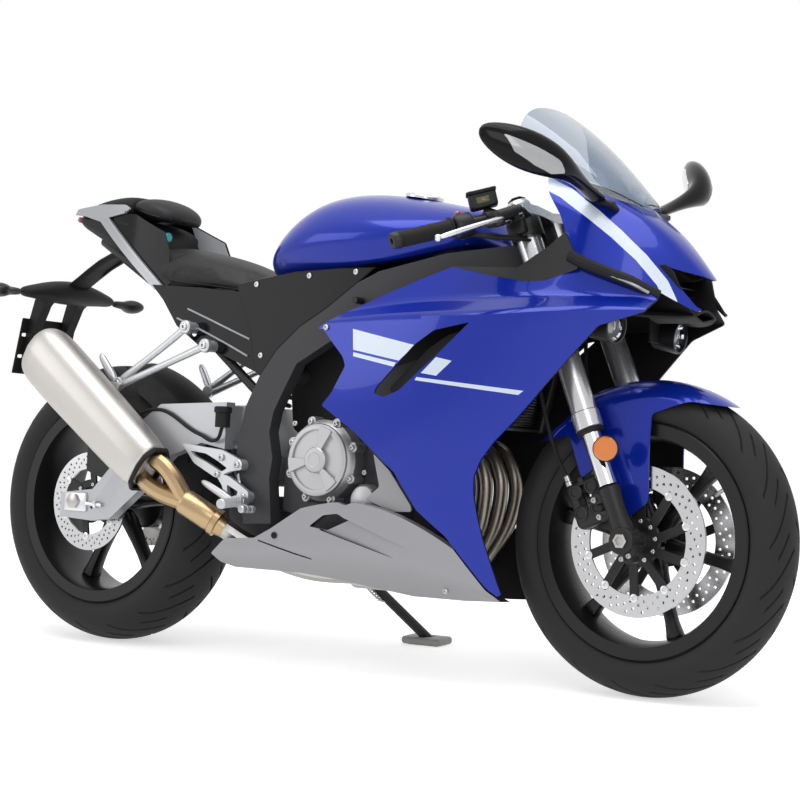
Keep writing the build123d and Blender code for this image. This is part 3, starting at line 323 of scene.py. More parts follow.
def solid_mesh(node):
    # A solid's own shape, still leaned over
    mesh = bmesh.new()
    mesh.from_mesh(NODES[node].data)
    bmesh.ops.transform(mesh, matrix=NODES[node].matrix_world, verts=mesh.verts)
    bmesh.ops.remove_doubles(mesh, verts=mesh.verts, dist=0.00005)
    bmesh.ops.dissolve_limit(mesh, angle_limit=math.radians(1), verts=mesh.verts, edges=mesh.edges)
    bmesh.ops.recalc_face_normals(mesh, faces=mesh.faces)
    return mesh


def dressed(node, material, body, edge=0.0015):
    # A solid's own shape with softened edges
    return piece(node + "_dressed", solid_mesh(node), material, body, [node], edge=edge, lean=False)


def lined(obj, middle):
    # A black finish on the faces that look towards the middle, which is given for a place on the piece
    obj.data.materials.append(MATTE_BLACK)
    turn = UPRIGHT.to_3x3()
    for face in obj.data.polygons:
        at = UPRIGHT @ face.center
        if (turn @ face.normal).dot(at - middle(at)) < 0:
            face.material_index = 1


def on_side(mesh, places):
    # Points under the right side of a mesh at side-view places of (x, z, depth)
    tree = BVHTree.FromBMesh(mesh)
    return [tree.ray_cast((x, -600, z), (0, 1, 0))[0] + Vector((0, depth, 0)) for x, z, depth in places]


def ribbon(path):
    # Side-view outlines of a band along a path of (x, z, width)
    edges = []
    for number, (x, z, width) in enumerate(path):
        x0, z0, _ = path[max(number - 1, 0)]
        x1, z1, _ = path[min(number + 1, len(path) - 1)]
        away = Vector((z1 - z0, x0 - x1)).normalized() * width / 2
        edges.append(((x - away.x, z - away.y), (x + away.x, z + away.y)))
    return [[near[0], near[1], far[1], far[0]] for near, far in zip(edges, edges[1:])]


def steer_point(x, y, z):
    # From fork coordinates: x ahead of the stem, z up along it
    return FRONT_AXLE + FORK_ACROSS * (x - FORK_OFFSET) + FORK_ALONG * z + Vector((0, y, 0))


def on_tube(z):
    # The middle of the right fork tube at a height along it
    return steer_point(FORK_OFFSET, -FORK_HALF, z)


# Shader groups shared by the finishes
def shader_group(name, inputs, outputs):
    tree = bpy.data.node_groups.new(name, "ShaderNodeTree")
    for label, kind, value in inputs:
        socket = tree.interface.new_socket(label, in_out="INPUT", socket_type=kind)
        if value is not None:
            socket.default_value = value
    for label, kind in outputs:
        tree.interface.new_socket(label, in_out="OUTPUT", socket_type=kind)
    return tree, tree.nodes.new("NodeGroupInput"), tree.nodes.new("NodeGroupOutput")


def math_node(tree, operation, first, second=None, clamp=False):
    node = tree.nodes.new("ShaderNodeMath")
    node.operation = operation
    node.use_clamp = clamp
    for slot, value in ((0, first), (1, second)):
        if value is None:
            continue
        if isinstance(value, (int, float)):
            node.inputs[slot].default_value = value
        else:
            tree.links.new(value, node.inputs[slot])
    return node.outputs[0]


def mottle_group():
    # Slow colour drift, fine grain for bump and a roughness that varies with both
    tree, start, end = shader_group("mottle", [
        ("Vector", "NodeSocketVector", None), ("Color", "NodeSocketColor", (0.5, 0.5, 0.5, 1)),
        ("Drift", "NodeSocketFloat", 0.1), ("Drift Scale", "NodeSocketFloat", 8.0),
        ("Grain Scale", "NodeSocketFloat", 900.0), ("Roughness", "NodeSocketFloat", 0.4),
        ("Roughness Spread", "NodeSocketFloat", 0.08)],
        [("Color", "NodeSocketColor"), ("Roughness", "NodeSocketFloat"), ("Grain", "NodeSocketFloat")])
    drift = tree.nodes.new("ShaderNodeTexNoise")
    drift.inputs["Detail"].default_value = 4.0
    tree.links.new(start.outputs["Vector"], drift.inputs["Vector"])
    tree.links.new(start.outputs["Drift Scale"], drift.inputs["Scale"])
    grain = tree.nodes.new("ShaderNodeTexNoise")
    grain.inputs["Detail"].default_value = 2.0
    tree.links.new(start.outputs["Vector"], grain.inputs["Vector"])
    tree.links.new(start.outputs["Grain Scale"], grain.inputs["Scale"])
    swing = math_node(tree, "SUBTRACT", drift.outputs["Fac"], 0.5)
    gain = math_node(tree, "ADD", math_node(tree, "MULTIPLY", swing, start.outputs["Drift"]), 1.0)
    colour = tree.nodes.new("ShaderNodeVectorMath")
    colour.operation = "SCALE"
    tree.links.new(start.outputs["Color"], colour.inputs[0])
    tree.links.new(gain, colour.inputs["Scale"])
    tree.links.new(colour.outputs[0], end.inputs["Color"])
    spread = math_node(tree, "MULTIPLY", swing, start.outputs["Roughness Spread"])
    tree.links.new(math_node(tree, "ADD", spread, start.outputs["Roughness"], clamp=True),
                   end.inputs["Roughness"])
    tree.links.new(grain.outputs["Fac"], end.inputs["Grain"])
    return tree


def brush_group():
    # Long fine streaks along one axis of the given coordinates
    tree, start, end = shader_group("brush", [
        ("Vector", "NodeSocketVector", None), ("Stretch", "NodeSocketVector", (1.0, 1.0, 1.0)),
        ("Roughness", "NodeSocketFloat", 0.3), ("Depth", "NodeSocketFloat", 0.15)],
        [("Roughness", "NodeSocketFloat"), ("Streak", "NodeSocketFloat")])
    stretch = tree.nodes.new("ShaderNodeVectorMath")
    stretch.operation = "MULTIPLY"
    tree.links.new(start.outputs["Vector"], stretch.inputs[0])
    tree.links.new(start.outputs["Stretch"], stretch.inputs[1])
    streak = tree.nodes.new("ShaderNodeTexNoise")
    streak.inputs["Scale"].default_value = 1.0
    streak.inputs["Detail"].default_value = 6.0
    tree.links.new(stretch.outputs[0], streak.inputs["Vector"])
    swing = math_node(tree, "MULTIPLY", math_node(tree, "SUBTRACT", streak.outputs["Fac"], 0.5),
                      start.outputs["Depth"])
    tree.links.new(math_node(tree, "ADD", swing, start.outputs["Roughness"], clamp=True),
                   end.inputs["Roughness"])
    tree.links.new(streak.outputs["Fac"], end.inputs["Streak"])
    return tree


MOTTLE = mottle_group()
BRUSH = brush_group()


def use_group(tree, group, links, **values):
    node = tree.nodes.new("ShaderNodeGroup")
    node.node_tree = group
    for label, value in values.items():
        node.inputs[label.replace("_", " ")].default_value = value
    for label, source in links.items():
        tree.links.new(source, node.inputs[label])
    return node


def new_material(name):
    material = bpy.data.materials.new(name)
    material.use_nodes = True
    tree = material.node_tree
    shader = tree.nodes["Principled BSDF"]
    place = tree.nodes.new("ShaderNodeTexCoord")
    return material, tree, shader, place.outputs["Object"]


def bump(tree, shader, height, strength, distance):
    node = tree.nodes.new("ShaderNodeBump")
    node.inputs["Strength"].default_value = strength
    node.inputs["Distance"].default_value = distance
    tree.links.new(height, node.inputs["Height"])
    tree.links.new(node.outputs["Normal"], shader.inputs["Normal"])


def finish(name, colour, roughness, metallic=0.0, coat=0.0, drift=0.12, grain=900.0, relief=0.05,
           specular=0.5):
    # A painted, cast or moulded finish
    material, tree, shader, where = new_material(name)
    node = use_group(tree, MOTTLE, {"Vector": where}, Color=(*colour, 1), Drift=drift, Drift_Scale=9.0,
                     Grain_Scale=grain, Roughness=roughness)
    tree.links.new(node.outputs["Color"], shader.inputs["Base Color"])
    tree.links.new(node.outputs["Roughness"], shader.inputs["Roughness"])
    shader.inputs["Metallic"].default_value = metallic
    shader.inputs["Coat Weight"].default_value = coat
    shader.inputs["Coat Roughness"].default_value = 0.04
    shader.inputs["Specular IOR Level"].default_value = specular
    bump(tree, shader, node.outputs["Grain"], relief, 0.0004)
    return material


def brushed(name, colour, roughness, stretch, depth=0.18, relief=0.03):
    # Bare metal with fine streaks
    material, tree, shader, where = new_material(name)
    tone = use_group(tree, MOTTLE, {"Vector": where}, Color=(*colour, 1), Drift=0.08, Drift_Scale=6.0)
    streaks = use_group(tree, BRUSH, {"Vector": where}, Stretch=stretch, Roughness=roughness, Depth=depth)
    tree.links.new(tone.outputs["Color"], shader.inputs["Base Color"])
    tree.links.new(streaks.outputs["Roughness"], shader.inputs["Roughness"])
    shader.inputs["Metallic"].default_value = 1.0
    bump(tree, shader, streaks.outputs["Streak"], relief, 0.0003)
    return material


def clear(name, colour):
    # Clear moulded plastic
    material, tree, shader, where = new_material(name)
    node = use_group(tree, MOTTLE, {"Vector": where}, Color=(*colour, 1), Drift=0.04, Roughness=0.02,
                     Roughness_Spread=0.02)
    tree.links.new(node.outputs["Color"], shader.inputs["Base Color"])
    tree.links.new(node.outputs["Roughness"], shader.inputs["Roughness"])
    shader.inputs["Transmission Weight"].default_value = 1.0
    shader.inputs["IOR"].default_value = 1.49
    return material


def upright_place(tree, where):
    # Object coordinates turned back into the upright millimetre frame
    node = tree.nodes.new("ShaderNodeMapping")
    turn = UPRIGHT.to_3x3().normalized().to_euler()
    node.inputs["Scale"].default_value = (1000, 1000, 1000)
    node.inputs["Rotation"].default_value = turn
    node.inputs["Location"].default_value = UPRIGHT.translation
    tree.links.new(where, node.inputs["Vector"])
    return node.outputs["Vector"]


def side_mask(tree, place, outline):
    # 1 inside a convex side-view outline of (x, z), else 0
    middle_x = sum(x for x, _ in outline) / len(outline)
    middle_z = sum(z for _, z in outline) / len(outline)
    nearest = None
    for (x0, z0), (x1, z1) in zip(outline, outline[1:] + outline[:1]):
        normal = Vector((z0 - z1, 0, x1 - x0)).normalized()
        if normal.dot(Vector((middle_x - x0, 0, middle_z - z0))) < 0:
            normal = -normal
        dot = tree.nodes.new("ShaderNodeVectorMath")
        dot.operation = "DOT_PRODUCT"
        dot.inputs[1].default_value = normal
        tree.links.new(place, dot.inputs[0])
        inside = math_node(tree, "SUBTRACT", dot.outputs["Value"], normal.dot(Vector((x0, 0, z0))))
        nearest = inside if nearest is None else math_node(tree, "MINIMUM", nearest, inside)
    return math_node(tree, "GREATER_THAN", nearest, 0.0)


def striped(name, base, stripe, outlines):
    # Lacquer with stripes laid on from the side
    material, tree, shader, where = new_material(name)
    place = upright_place(tree, where)
    mask = None
    for outline in outlines:
        inside = side_mask(tree, place, outline)
        mask = inside if mask is None else math_node(tree, "MAXIMUM", mask, inside)
    node = use_group(tree, MOTTLE, {"Vector": where}, Color=(*base, 1), Drift=0.06, Grain_Scale=2600.0,
                     Roughness=0.22)
    mix = tree.nodes.new("ShaderNodeMix")
    mix.data_type = "RGBA"
    mix.inputs["B"].default_value = (*stripe, 1)
    tree.links.new(mask, mix.inputs["Factor"])
    tree.links.new(node.outputs["Color"], mix.inputs["A"])
    tree.links.new(mix.outputs["Result"], shader.inputs["Base Color"])
    tree.links.new(node.outputs["Roughness"], shader.inputs["Roughness"])
    plain = math_node(tree, "MULTIPLY", math_node(tree, "SUBTRACT", 1.0, mask), 0.25)
    tree.links.new(plain, shader.inputs["Metallic"])
    shader.inputs["Coat Weight"].default_value = 0.4
    shader.inputs["Coat Roughness"].default_value = 0.03
    shader.inputs["Specular IOR Level"].default_value = 0.15
    return material


PALE = (0.72, 0.80, 0.92)
BLUE_BASE = (0.004, 0.022, 0.34)
BLUE = finish("royal_blue_lacquer", BLUE_BASE, 0.22, metallic=0.3, coat=0.4, drift=0.06, grain=2600.0,
              relief=0.01, specular=0.15)
SILVER = finish("silver_lacquer", (0.30, 0.30, 0.315), 0.40, metallic=0.4, coat=0.2, drift=0.05,
                grain=2600.0, relief=0.02)
TAIL_SILVER = finish("tail_silver", (0.36, 0.37, 0.39), 0.34, metallic=0.5, coat=0.3, drift=0.05,
                     grain=2600.0, relief=0.02)
ARM_SILVER = finish("arm_silver", (0.44, 0.45, 0.47), 0.38, metallic=0.5, coat=0.2, drift=0.06, grain=1900.0,
                    relief=0.05)
REST_SILVER = finish("rest_silver", (0.52, 0.53, 0.55), 0.36, metallic=0.7, drift=0.06, grain=1900.0,
                     relief=0.05)
FRAME_GREY = finish("frame_grey", (0.045, 0.045, 0.048), 0.50, metallic=0.2, relief=0.06, specular=0.3)
SATIN_BLACK = finish("satin_black", (0.012, 0.012, 0.013), 0.40, relief=0.04, specular=0.3)
WHEEL_BLACK = finish("wheel_black", (0.008, 0.008, 0.009), 0.32, relief=0.03, specular=0.3)
GLOSS_BLACK = finish("gloss_black", (0.004, 0.004, 0.005), 0.14, coat=0.06, relief=0.01, specular=0.12)
MATTE_BLACK = finish("grained_black", (0.012, 0.012, 0.013), 0.60, grain=1500.0, relief=0.18, specular=0.2)
CAST_ALLOY = finish("cast_alloy", (0.42, 0.42, 0.43), 0.42, metallic=0.8, grain=1300.0, relief=0.14)
DARK_CAST = finish("dark_cast", (0.055, 0.055, 0.06), 0.55, metallic=0.4, grain=1200.0, relief=0.16,
                   specular=0.3)
MACHINED = brushed("machined_alloy", (0.62, 0.62, 0.63), 0.28, (260.0, 260.0, 900.0), depth=0.1,
                   relief=0.008)
FORK_SILVER = finish("fork_silver", (0.58, 0.58, 0.60), 0.26, metallic=0.8, coat=0.3, relief=0.02)
BRUSHED = brushed("brushed_steel", (0.50, 0.48, 0.46), 0.44, (180.0, 900.0, 180.0))
DISC_STEEL = brushed("ground_disc_steel", (0.55, 0.55, 0.56), 0.24, (500.0, 500.0, 500.0))
STEEL = brushed("plain_steel", (0.42, 0.41, 0.40), 0.30, (400.0, 400.0, 400.0))
HEADER_STEEL = brushed("header_steel", (0.25, 0.22, 0.19), 0.34, (400.0, 400.0, 400.0))
LINER_GREY = finish("liner_grey", (0.55, 0.56, 0.59), 0.36, metallic=0.1, coat=0.2, drift=0.05, grain=2600.0,
                    relief=0.02)
BRONZE = brushed("heated_steel", (0.42, 0.30, 0.17), 0.30, (200.0, 400.0, 200.0))
CHROME = brushed("hard_chrome", (0.70, 0.70, 0.72), 0.07, (300.0, 300.0, 60.0), depth=0.05, relief=0.01)
SEAT_COVER = finish("seat_cover", (0.010, 0.010, 0.011), 0.52, grain=620.0, relief=0.35, specular=0.3)
RUBBER = finish("grip_rubber", (0.010, 0.010, 0.010), 0.65, grain=700.0, relief=0.2, specular=0.25)
TYRE = finish("tyre_rubber", (0.024, 0.024, 0.025), 0.66, grain=600.0, relief=0.15, specular=0.2)
SCREEN = clear("screen_smoke", (0.42, 0.48, 0.56))
RED_LENS = finish("red_lens", (0.40, 0.012, 0.012), 0.10, coat=1.0, relief=0.0)
AMBER = finish("amber_lens", (0.75, 0.20, 0.02), 0.14, coat=1.0, grain=420.0, relief=0.25)
LENS = finish("pale_lens", (0.42, 0.43, 0.44), 0.10, coat=0.8, grain=300.0, relief=0.3)
MIRROR_GLASS = brushed("mirror_glass", (0.72, 0.74, 0.76), 0.03, (40.0, 40.0, 40.0), depth=0.02, relief=0.0)
TEAL = finish("teal_plastic", (0.02, 0.38, 0.42), 0.30, grain=500.0, relief=0.05)
FLUID = finish("fluid_window", (0.10, 0.085, 0.02), 0.22, coat=0.3, grain=300.0, relief=0.05)
STAND_PAD = finish("stand_pad_grey", (0.36, 0.36, 0.35), 0.55, metallic=0.2, grain=900.0, relief=0.12)

NODE_FINISH = {
    BLUE: ["fuel_tank", "nose_cowl", "side_fairing_left", "side_fairing_right", "front_mudguard"],
    SILVER: ["belly_pan_left", "belly_pan_right"],
    TAIL_SILVER: ["tail_fins"],
    ARM_SILVER: ["swingarm"],
    FRAME_GREY: ["main_frame"],
    SATIN_BLACK: ["subframe", "radiator", "rear_shock", "rear_caliper", "fairing_stay", "panel_brackets",
                  "fork_feet", "handlebars", "hand_controls", "front_calipers", "side_stand"],
    WHEEL_BLACK: ["front_rim", "rear_rim"],
    GLOSS_BLACK: ["tank_side_covers", "seat_side_covers", "rear_indicators", "headlamps", "mirrors"],
    MATTE_BLACK: ["rear_hugger", "tail_core", "plate_holder", "nose_duct", "instrument_panel"],
    CAST_ALLOY: ["engine_covers"],
    DARK_CAST: ["engine_block"],
    MACHINED: ["footrest_brackets", "foot_controls", "footrests", "pillion_hangers", "triple_clamps",
               "fork_outer_tubes", "fuel_lid"],
    BRUSHED: ["muffler"],
    STEEL: ["exhaust_headers", "exhaust_link_pipe", "rear_axle", "drive_chain", "front_axle", "front_discs",
            "rear_disc", "rear_sprocket"],
    CHROME: ["fork_inner_tubes"],
    SEAT_COVER: ["rider_seat", "pillion_seat"],
    RUBBER: ["grips"],
    TYRE: ["front_tyre", "rear_tyre"],
    SCREEN: ["windscreen"],
    RED_LENS: ["tail_lamp"],
}
for material, names in NODE_FINISH.items():
    for name in names:
        node = NODES[name]
        node.data.materials.clear()
        node.data.materials.append(material)


# Bodywork
DUCT = [(-80, 820), (-40, 806), (0, 796), (40, 806), (80, 820), (58, 742), (38, 727), (0, 718), (-38, 727),
        (-58, 742)]
FAIRING_STRIPES = [
    [(107, 690), (276, 656), (236, 626), (112, 648)],
    [(113, 643), (229, 622), (223, 614), (113, 635)],
    [(328, 633), (364, 626), (328, 597), (292, 602)],
    [(281, 594), (511, 572), (500, 564), (277, 588)],
]
NOSE_STRIPE = [(486, 984, 22), (540, 958, 22), (600, 915, 21), (646, 878, 19), (695, 833, 17),
               (737, 785, 16), (758, 750, 15), (771, 720, 14)]


def side_fairing_mesh():
    # Five lines run along the panel: top edge, two creases of the ledge, flank and lower edge
    sections = [
        (-30, [(-150, 790), (-176, 718), (-192, 700), (-200, 560), (-178, 380)]),
        (150, [(-146, 850), (-184, 742), (-216, 714), (-229, 560), (-198, 320)]),
        (300, [(-140, 850), (-188, 750), (-241, 716), (-240, 540), (-162, 160)]),
        (450, [(-144, 850), (-192, 752), (-243, 716), (-219, 540), (-120, 140)]),
        (600, [(-170, 832), (-188, 760), (-231, 726), (-189, 610), (-132, 440)]),
        (770, [(-100, 790), (-112, 750), (-148, 730), (-118, 690), (-98, 620)]),
    ]
    outline = [(7, 692), (61, 724), (164, 765), (273, 806), (304, 817), (375, 802), (482, 783), (533, 784),
               (574, 800), (604, 820), (640, 804), (701, 779), (745, 753), (742, 726), (658, 697),
               (603, 639), (564, 597), (527, 556), (493, 520), (445, 474), (414, 437), (398, 404),
               (395, 370), (399, 330), (406, 287), (420, 230), (437, 167), (405, 190), (330, 286),
               (268, 335), (219, 408), (121, 484), (29, 536), (58, 563), (93, 616), (84, 634), (23, 690)]
    vent = [(405, 700), (322, 685), (274, 657), (180, 574), (173, 562), (198, 554), (236, 567), (325, 634)]
    rows = [[(x, y, z) for y, z in points] for x, points in sections]
    skin = shell(smoothed(cage(rows, creases=[(1, 0.7), (2, 0.85)]), 3), 4.0)
    skin = cut(skin, prism(outline, -400, 0, corner=5), "INTERSECT")
    return cut(skin, prism(vent, -400, 0, corner=5))


def vent_lip_mesh():
    # Black inner duct that shows through the vent
    hole = [(395, 696), (322, 682), (274, 654), (184, 574), (198, 558), (236, 571), (320, 636)]
    return prism([(x + 14, z - 2) for x, z in hole], -206, -196, corner=6)


def belly_mesh():
    sections = [
        (-275, [(-177, 266), (-173, 226), (-130, 188)]),
        (-100, [(-181, 300), (-175, 232), (-96, 166)]),
        (100, [(-182, 366), (-172, 250), (-62, 148)]),
        (300, [(-168, 300), (-152, 220), (-50, 146)]),
        (450, [(-122, 190), (-112, 172), (-60, 150)]),
    ]
    outline = [(-257, 221), (-218, 254), (-139, 259), (-96, 280), (-7, 331), (35, 351), (95, 336),
               (126, 349), (214, 325), (262, 334), (328, 280), (403, 186), (432, 165), (328, 160),
               (203, 160), (15, 186), (-48, 192), (-214, 194), (-244, 203)]
    slot = [(4, 290), (39, 314), (74, 319), (98, 307), (43, 284)]
    # Scoop that runs out of the slot and fades forward, and the seam of the rear flap: (x, z, depth)
    scoop = [(96, 309, 9), (248, 254, -1), (216, 234, -1), (30, 284, 9), (60, 300, 9)]
    seam = [(-128, 256, 3), (2, 225, 3), (1, 222, 3), (-129, 253, 3)]
    rows = [[(x, y, z) for y, z in points] for x, points in sections]
    skin = shell(smoothed(cage(rows, creases=[(1, 0.8)]), 3), 15.0)
    floors = [on_side(skin, places) for places in (scoop, seam)]
    skin = cut(skin, prism(outline, -400, 0, corner=3), "INTERSECT")
    skin = cut(skin, prism(slot, -400, 0, corner=4))
    for floor in floors:
        outer = [(x, -260, z) for x, _, z in floor]
        skin = cut(skin, cage([outer, floor], closed=True, caps=True))
    return skin


def belly_screws(skin):
    # A screw low at the front and the dark plug of the rear flap
    front, rear = on_side(skin, [(300, 178, -2), (-85, 267, -1)])
    return bolt(front, (0, -1, -0.2), 6, 4), bolt(rear, OUTWARD, 7, 2)


def nose_mesh():
    # Rows from the screen forward: lower edge, crease, shoulder, middle and back again
    table = [
        (425, (178, 900), (162, 985), (102, 1040), 1060),
        (540, (182, 840), (146, 947), (92, 1002), 1016),
        (640, (170, 780), (118, 888), (72, 938), 946),
        (720, (142, 745), (88, 818), (52, 884), 895),
        (802, (64, 716), (48, 745), (26, 788), 798),
    ]
    outline = [(488, 1004), (506, 966), (544, 912), (569, 862), (586, 836), (640, 815), (701, 790),
               (752, 758), (796, 732), (808, 740), (808, 800), (760, 880), (700, 915), (664, 934)]
    rows = []
    for x, edge, line, shoulder, top in table:
        half = [edge, line, shoulder]
        rows.append([(x, -w, z) for w, z in half] + [(x, 0, top)] + [(x, w, z) for w, z in reversed(half)])
    skin = shell(smoothed(cage(rows, creases=[(1, 0.75), (5, 0.75), (2, 0.3), (4, 0.3)]), 3), 4.0)
    skin = cut(skin, prism(outline, -300, 300, corner=4), "INTERSECT")
    # Open under the screen, so that the dials can be read through it
    window = [(420, -122), (480, -116), (560, -93), (636, -26), (636, 26), (560, 93), (480, 116), (420, 122)]
    skin = cut(skin, cage([[(x, y, z) for x, y in window] for z in (880, 1200)], closed=True, caps=True))
    return cut(skin, prism_ahead(DUCT, 700, 900, corner=4))


def screen_mesh():
    table = [(664, 34, 936, 946), (560, 117, 966, 1047), (480, 141, 1005, 1115), (432, 147, 1024, 1146)]
    # Each row is a fuller arch than half an ellipse
    arch = [(math.cos(math.pi * step / 10), math.sin(math.pi * step / 10)) for step in range(11)]
    arch = [(math.copysign(abs(across) ** 0.72, across), abs(rise) ** 0.72) for across, rise in arch]
    rows = []
    for x, half, low, top in table:
        rows.append([(x, -half * across, low + (top - low) * rise) for across, rise in arch])
    return shell(smoothed(cage(rows), 2), 3.0)


def tank_mesh():
    # Rings round the tank from the seat forward; the lid's well is sunk in its top
    table = [
        (-218, 62, 822, 72, 834, 58, 846, 850),
        (-208, 80, 817, 96, 842, 74, 872, 884),
        (-182, 96, 812, 122, 862, 88, 912, 932),
        (-100, 118, 816, 154, 884, 108, 964, 996),
        (20, 136, 822, 172, 888, 112, 972, 1004),
        (150, 136, 836, 170, 894, 102, 958, 982),
        (262, 100, 862, 128, 904, 76, 942, 956),
        (300, 84, 868, 104, 902, 62, 936, 948),
    ]
    creases = [(1, 0.9), (7, 0.9), (2, 0.25), (6, 0.25)]
    body = smoothed(cage(rounded_rows(table), closed=True, caps=True, creases=creases), 3)
    low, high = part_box("fuel_lid")
    middle = UPRIGHT @ ((low + high) / 2)
    well = turned([(0, 43), (60, 43)], middle - Vector((0, 0, 4.5)), middle + Vector((9, 0, 56)), 48)
    return cut(body, well)


def mudguard_mesh():
    reach = 310
    half = 70
    profile = []
    for step in range(13):
        across = half * math.cos(math.pi * step / 12)
        profile.append((across, reach - 46 + 46 * math.sin(math.pi * step / 12)))
    profile = [(half + 0.5, 20)] + profile + [(-half - 0.5, 20)]
    band = shell(lathe(profile, FRONT_AXLE, 96, closed=False), 3.0)
    shape = [(0.59, 0.83), (0.33, 0.99), (0, 1.05), (-0.23, 1.05), (-0.42, 0.91), (-0.55, 0.72),
             (-0.75, 0.58), (-0.54, 0.62), (-0.5, 0.64), (-0.4, 0.37), (-0.31, 0.43), (-0.26, 0.52),
             (-0.16, 0.37), (-0.07, 0.13), (0.08, 0.24), (0.07, 0.55), (0.08, 0.78), (0.32, 0.86)]
    outline = [(FRONT_AXLE.x + reach * x, FRONT_AXLE.z + reach * z) for x, z in shape]
    return cut(band, prism(outline, -200, 200, corner=8), "INTERSECT")


def make_bodywork():
    striped_blue = striped("striped_blue", BLUE_BASE, PALE, FAIRING_STRIPES)
    nose_blue = striped("nose_blue", BLUE_BASE, PALE, ribbon(NOSE_STRIPE))
    panel = side_fairing_mesh()
    screws = [bolt(spot, OUTWARD, 6, 4) for spot in on_side(panel, [(32, 694, -1)])]
    piece("fairing_screws", mirrored(joined(*screws)), STEEL, "chassis")
    right = piece("side_fairing_right_panel", panel, striped_blue, "chassis", ["side_fairing_right"],
                  edge=0.0008)
    left = piece("side_fairing_left_panel", flipped(side_fairing_mesh()), striped_blue, "chassis",
                 ["side_fairing_left"], edge=0.0008)
    for fairing in (right, left):
        lined(fairing, lambda at: Vector((at.x, 0, 560)))
    piece("vent_ducts", mirrored(vent_lip_mesh()), MATTE_BLACK, "chassis", edge=0.001)
    belly = belly_mesh()
    screw, plug = belly_screws(belly)
    piece("belly_screws", mirrored(screw), STEEL, "chassis")
    piece("belly_plug", plug, MATTE_BLACK, "chassis")
    right = piece("belly_right", belly, SILVER, "chassis", ["belly_pan_right"], edge=0.0008)
    left = cut(flipped(belly_mesh()), block((420, 200, 300), (-300, 130, 220), corner=1))
    left = piece("belly_left", left, SILVER, "chassis", ["belly_pan_left"], edge=0.0008)
    for pan in (right, left):
        lined(pan, lambda at: Vector((at.x, 0, 280)))
    nose = piece("nose_panel", nose_mesh(), nose_blue, "chassis", ["nose_cowl"], edge=0.0008)
    lined(nose, lambda at: Vector((at.x, 0, 930 - (at.x - 425) / 2)))
    piece("screen", screen_mesh(), SCREEN, "chassis", ["windscreen"])
    piece("tank_shell", tank_mesh(), BLUE, "chassis", ["fuel_tank"])
    guard = piece("front_guard", mudguard_mesh(), BLUE, "steering", ["front_mudguard"], edge=0.0008)
    lined(guard, lambda at: FRONT_AXLE)


make_bodywork()


# Wheels, brakes and fork
TYRE_STEPS = 360
GROOVE_PITCH = 20
GROOVE_WIDE = 2
GROOVE_SWEEP = math.radians(24)
FRONT_WHEEL = {"at": FRONT_AXLE, "radius": 298, "half": 60, "bead": 47, "drop": 46, "spoke": 16,
               "first": -12, "disc_face": 57.5, "disc_radius": 145, "disc_band": 41, "disc_arms": 10}
REAR_WHEEL = {"at": REAR_AXLE, "radius": 312, "half": 88, "bead": 74, "drop": 58, "spoke": 20,
              "first": -56, "disc_face": 102.5, "disc_radius": 110, "disc_band": 36, "disc_arms": 6}
SEAT_RADIUS = 216
LIP_RADIUS = 228
CARRIER_SKEW = 16


def tyre_mesh(wheel):
    # Bead, flank and crown turned round the axle; grooves are sunk straight across the tread, which is then
    # twisted about the axle so that they sweep back towards the shoulders
    half, drop, radius, bead = wheel["half"], wheel["drop"], wheel["radius"], wheel["bead"]
    bands = 36
    crown = []
    for band in range(bands + 1):
        angle = math.pi * (band / bands - 0.5)
        crown.append((half * math.sin(angle), radius - drop + drop * math.cos(angle)))
    flank = [(bead + 1, LIP_RADIUS), (half - 3, radius - drop - 14)]
    profile = ([(-bead, SEAT_RADIUS)] + [(-y, r) for y, r in flank] + crown + list(reversed(flank))
               + [(bead, SEAT_RADIUS)])
    mesh = lathe(profile, wheel["at"], TYRE_STEPS)
    grooves = []
    for face in mesh.faces:
        middle = face.calc_center_median() - wheel["at"]
        side = middle.y / half
        if math.hypot(middle.x, middle.z) < radius - drop * 0.8:
            continue
        turn = math.degrees(math.atan2(middle.z, middle.x)) % 360
        place = (turn + (GROOVE_PITCH / 2 if side > 0 else 0)) % GROOVE_PITCH
        if place < GROOVE_WIDE and 0.12 < abs(side) < 0.9:
            grooves.append(face)
        elif GROOVE_PITCH / 2 <= place < GROOVE_PITCH / 2 + GROOVE_WIDE and 0.34 < abs(side) < 0.72:
            grooves.append(face)
    bmesh.ops.inset_region(mesh, faces=grooves, thickness=0.8, depth=-4.0, use_even_offset=True)
    for vert in mesh.verts:
        spot = vert.co - wheel["at"]
        swing = GROOVE_SWEEP * min(abs(spot.y) / half, 1) ** 1.4
        vert.co = wheel["at"] + Matrix.Rotation(swing, 3, "Y") @ spot
    return mesh


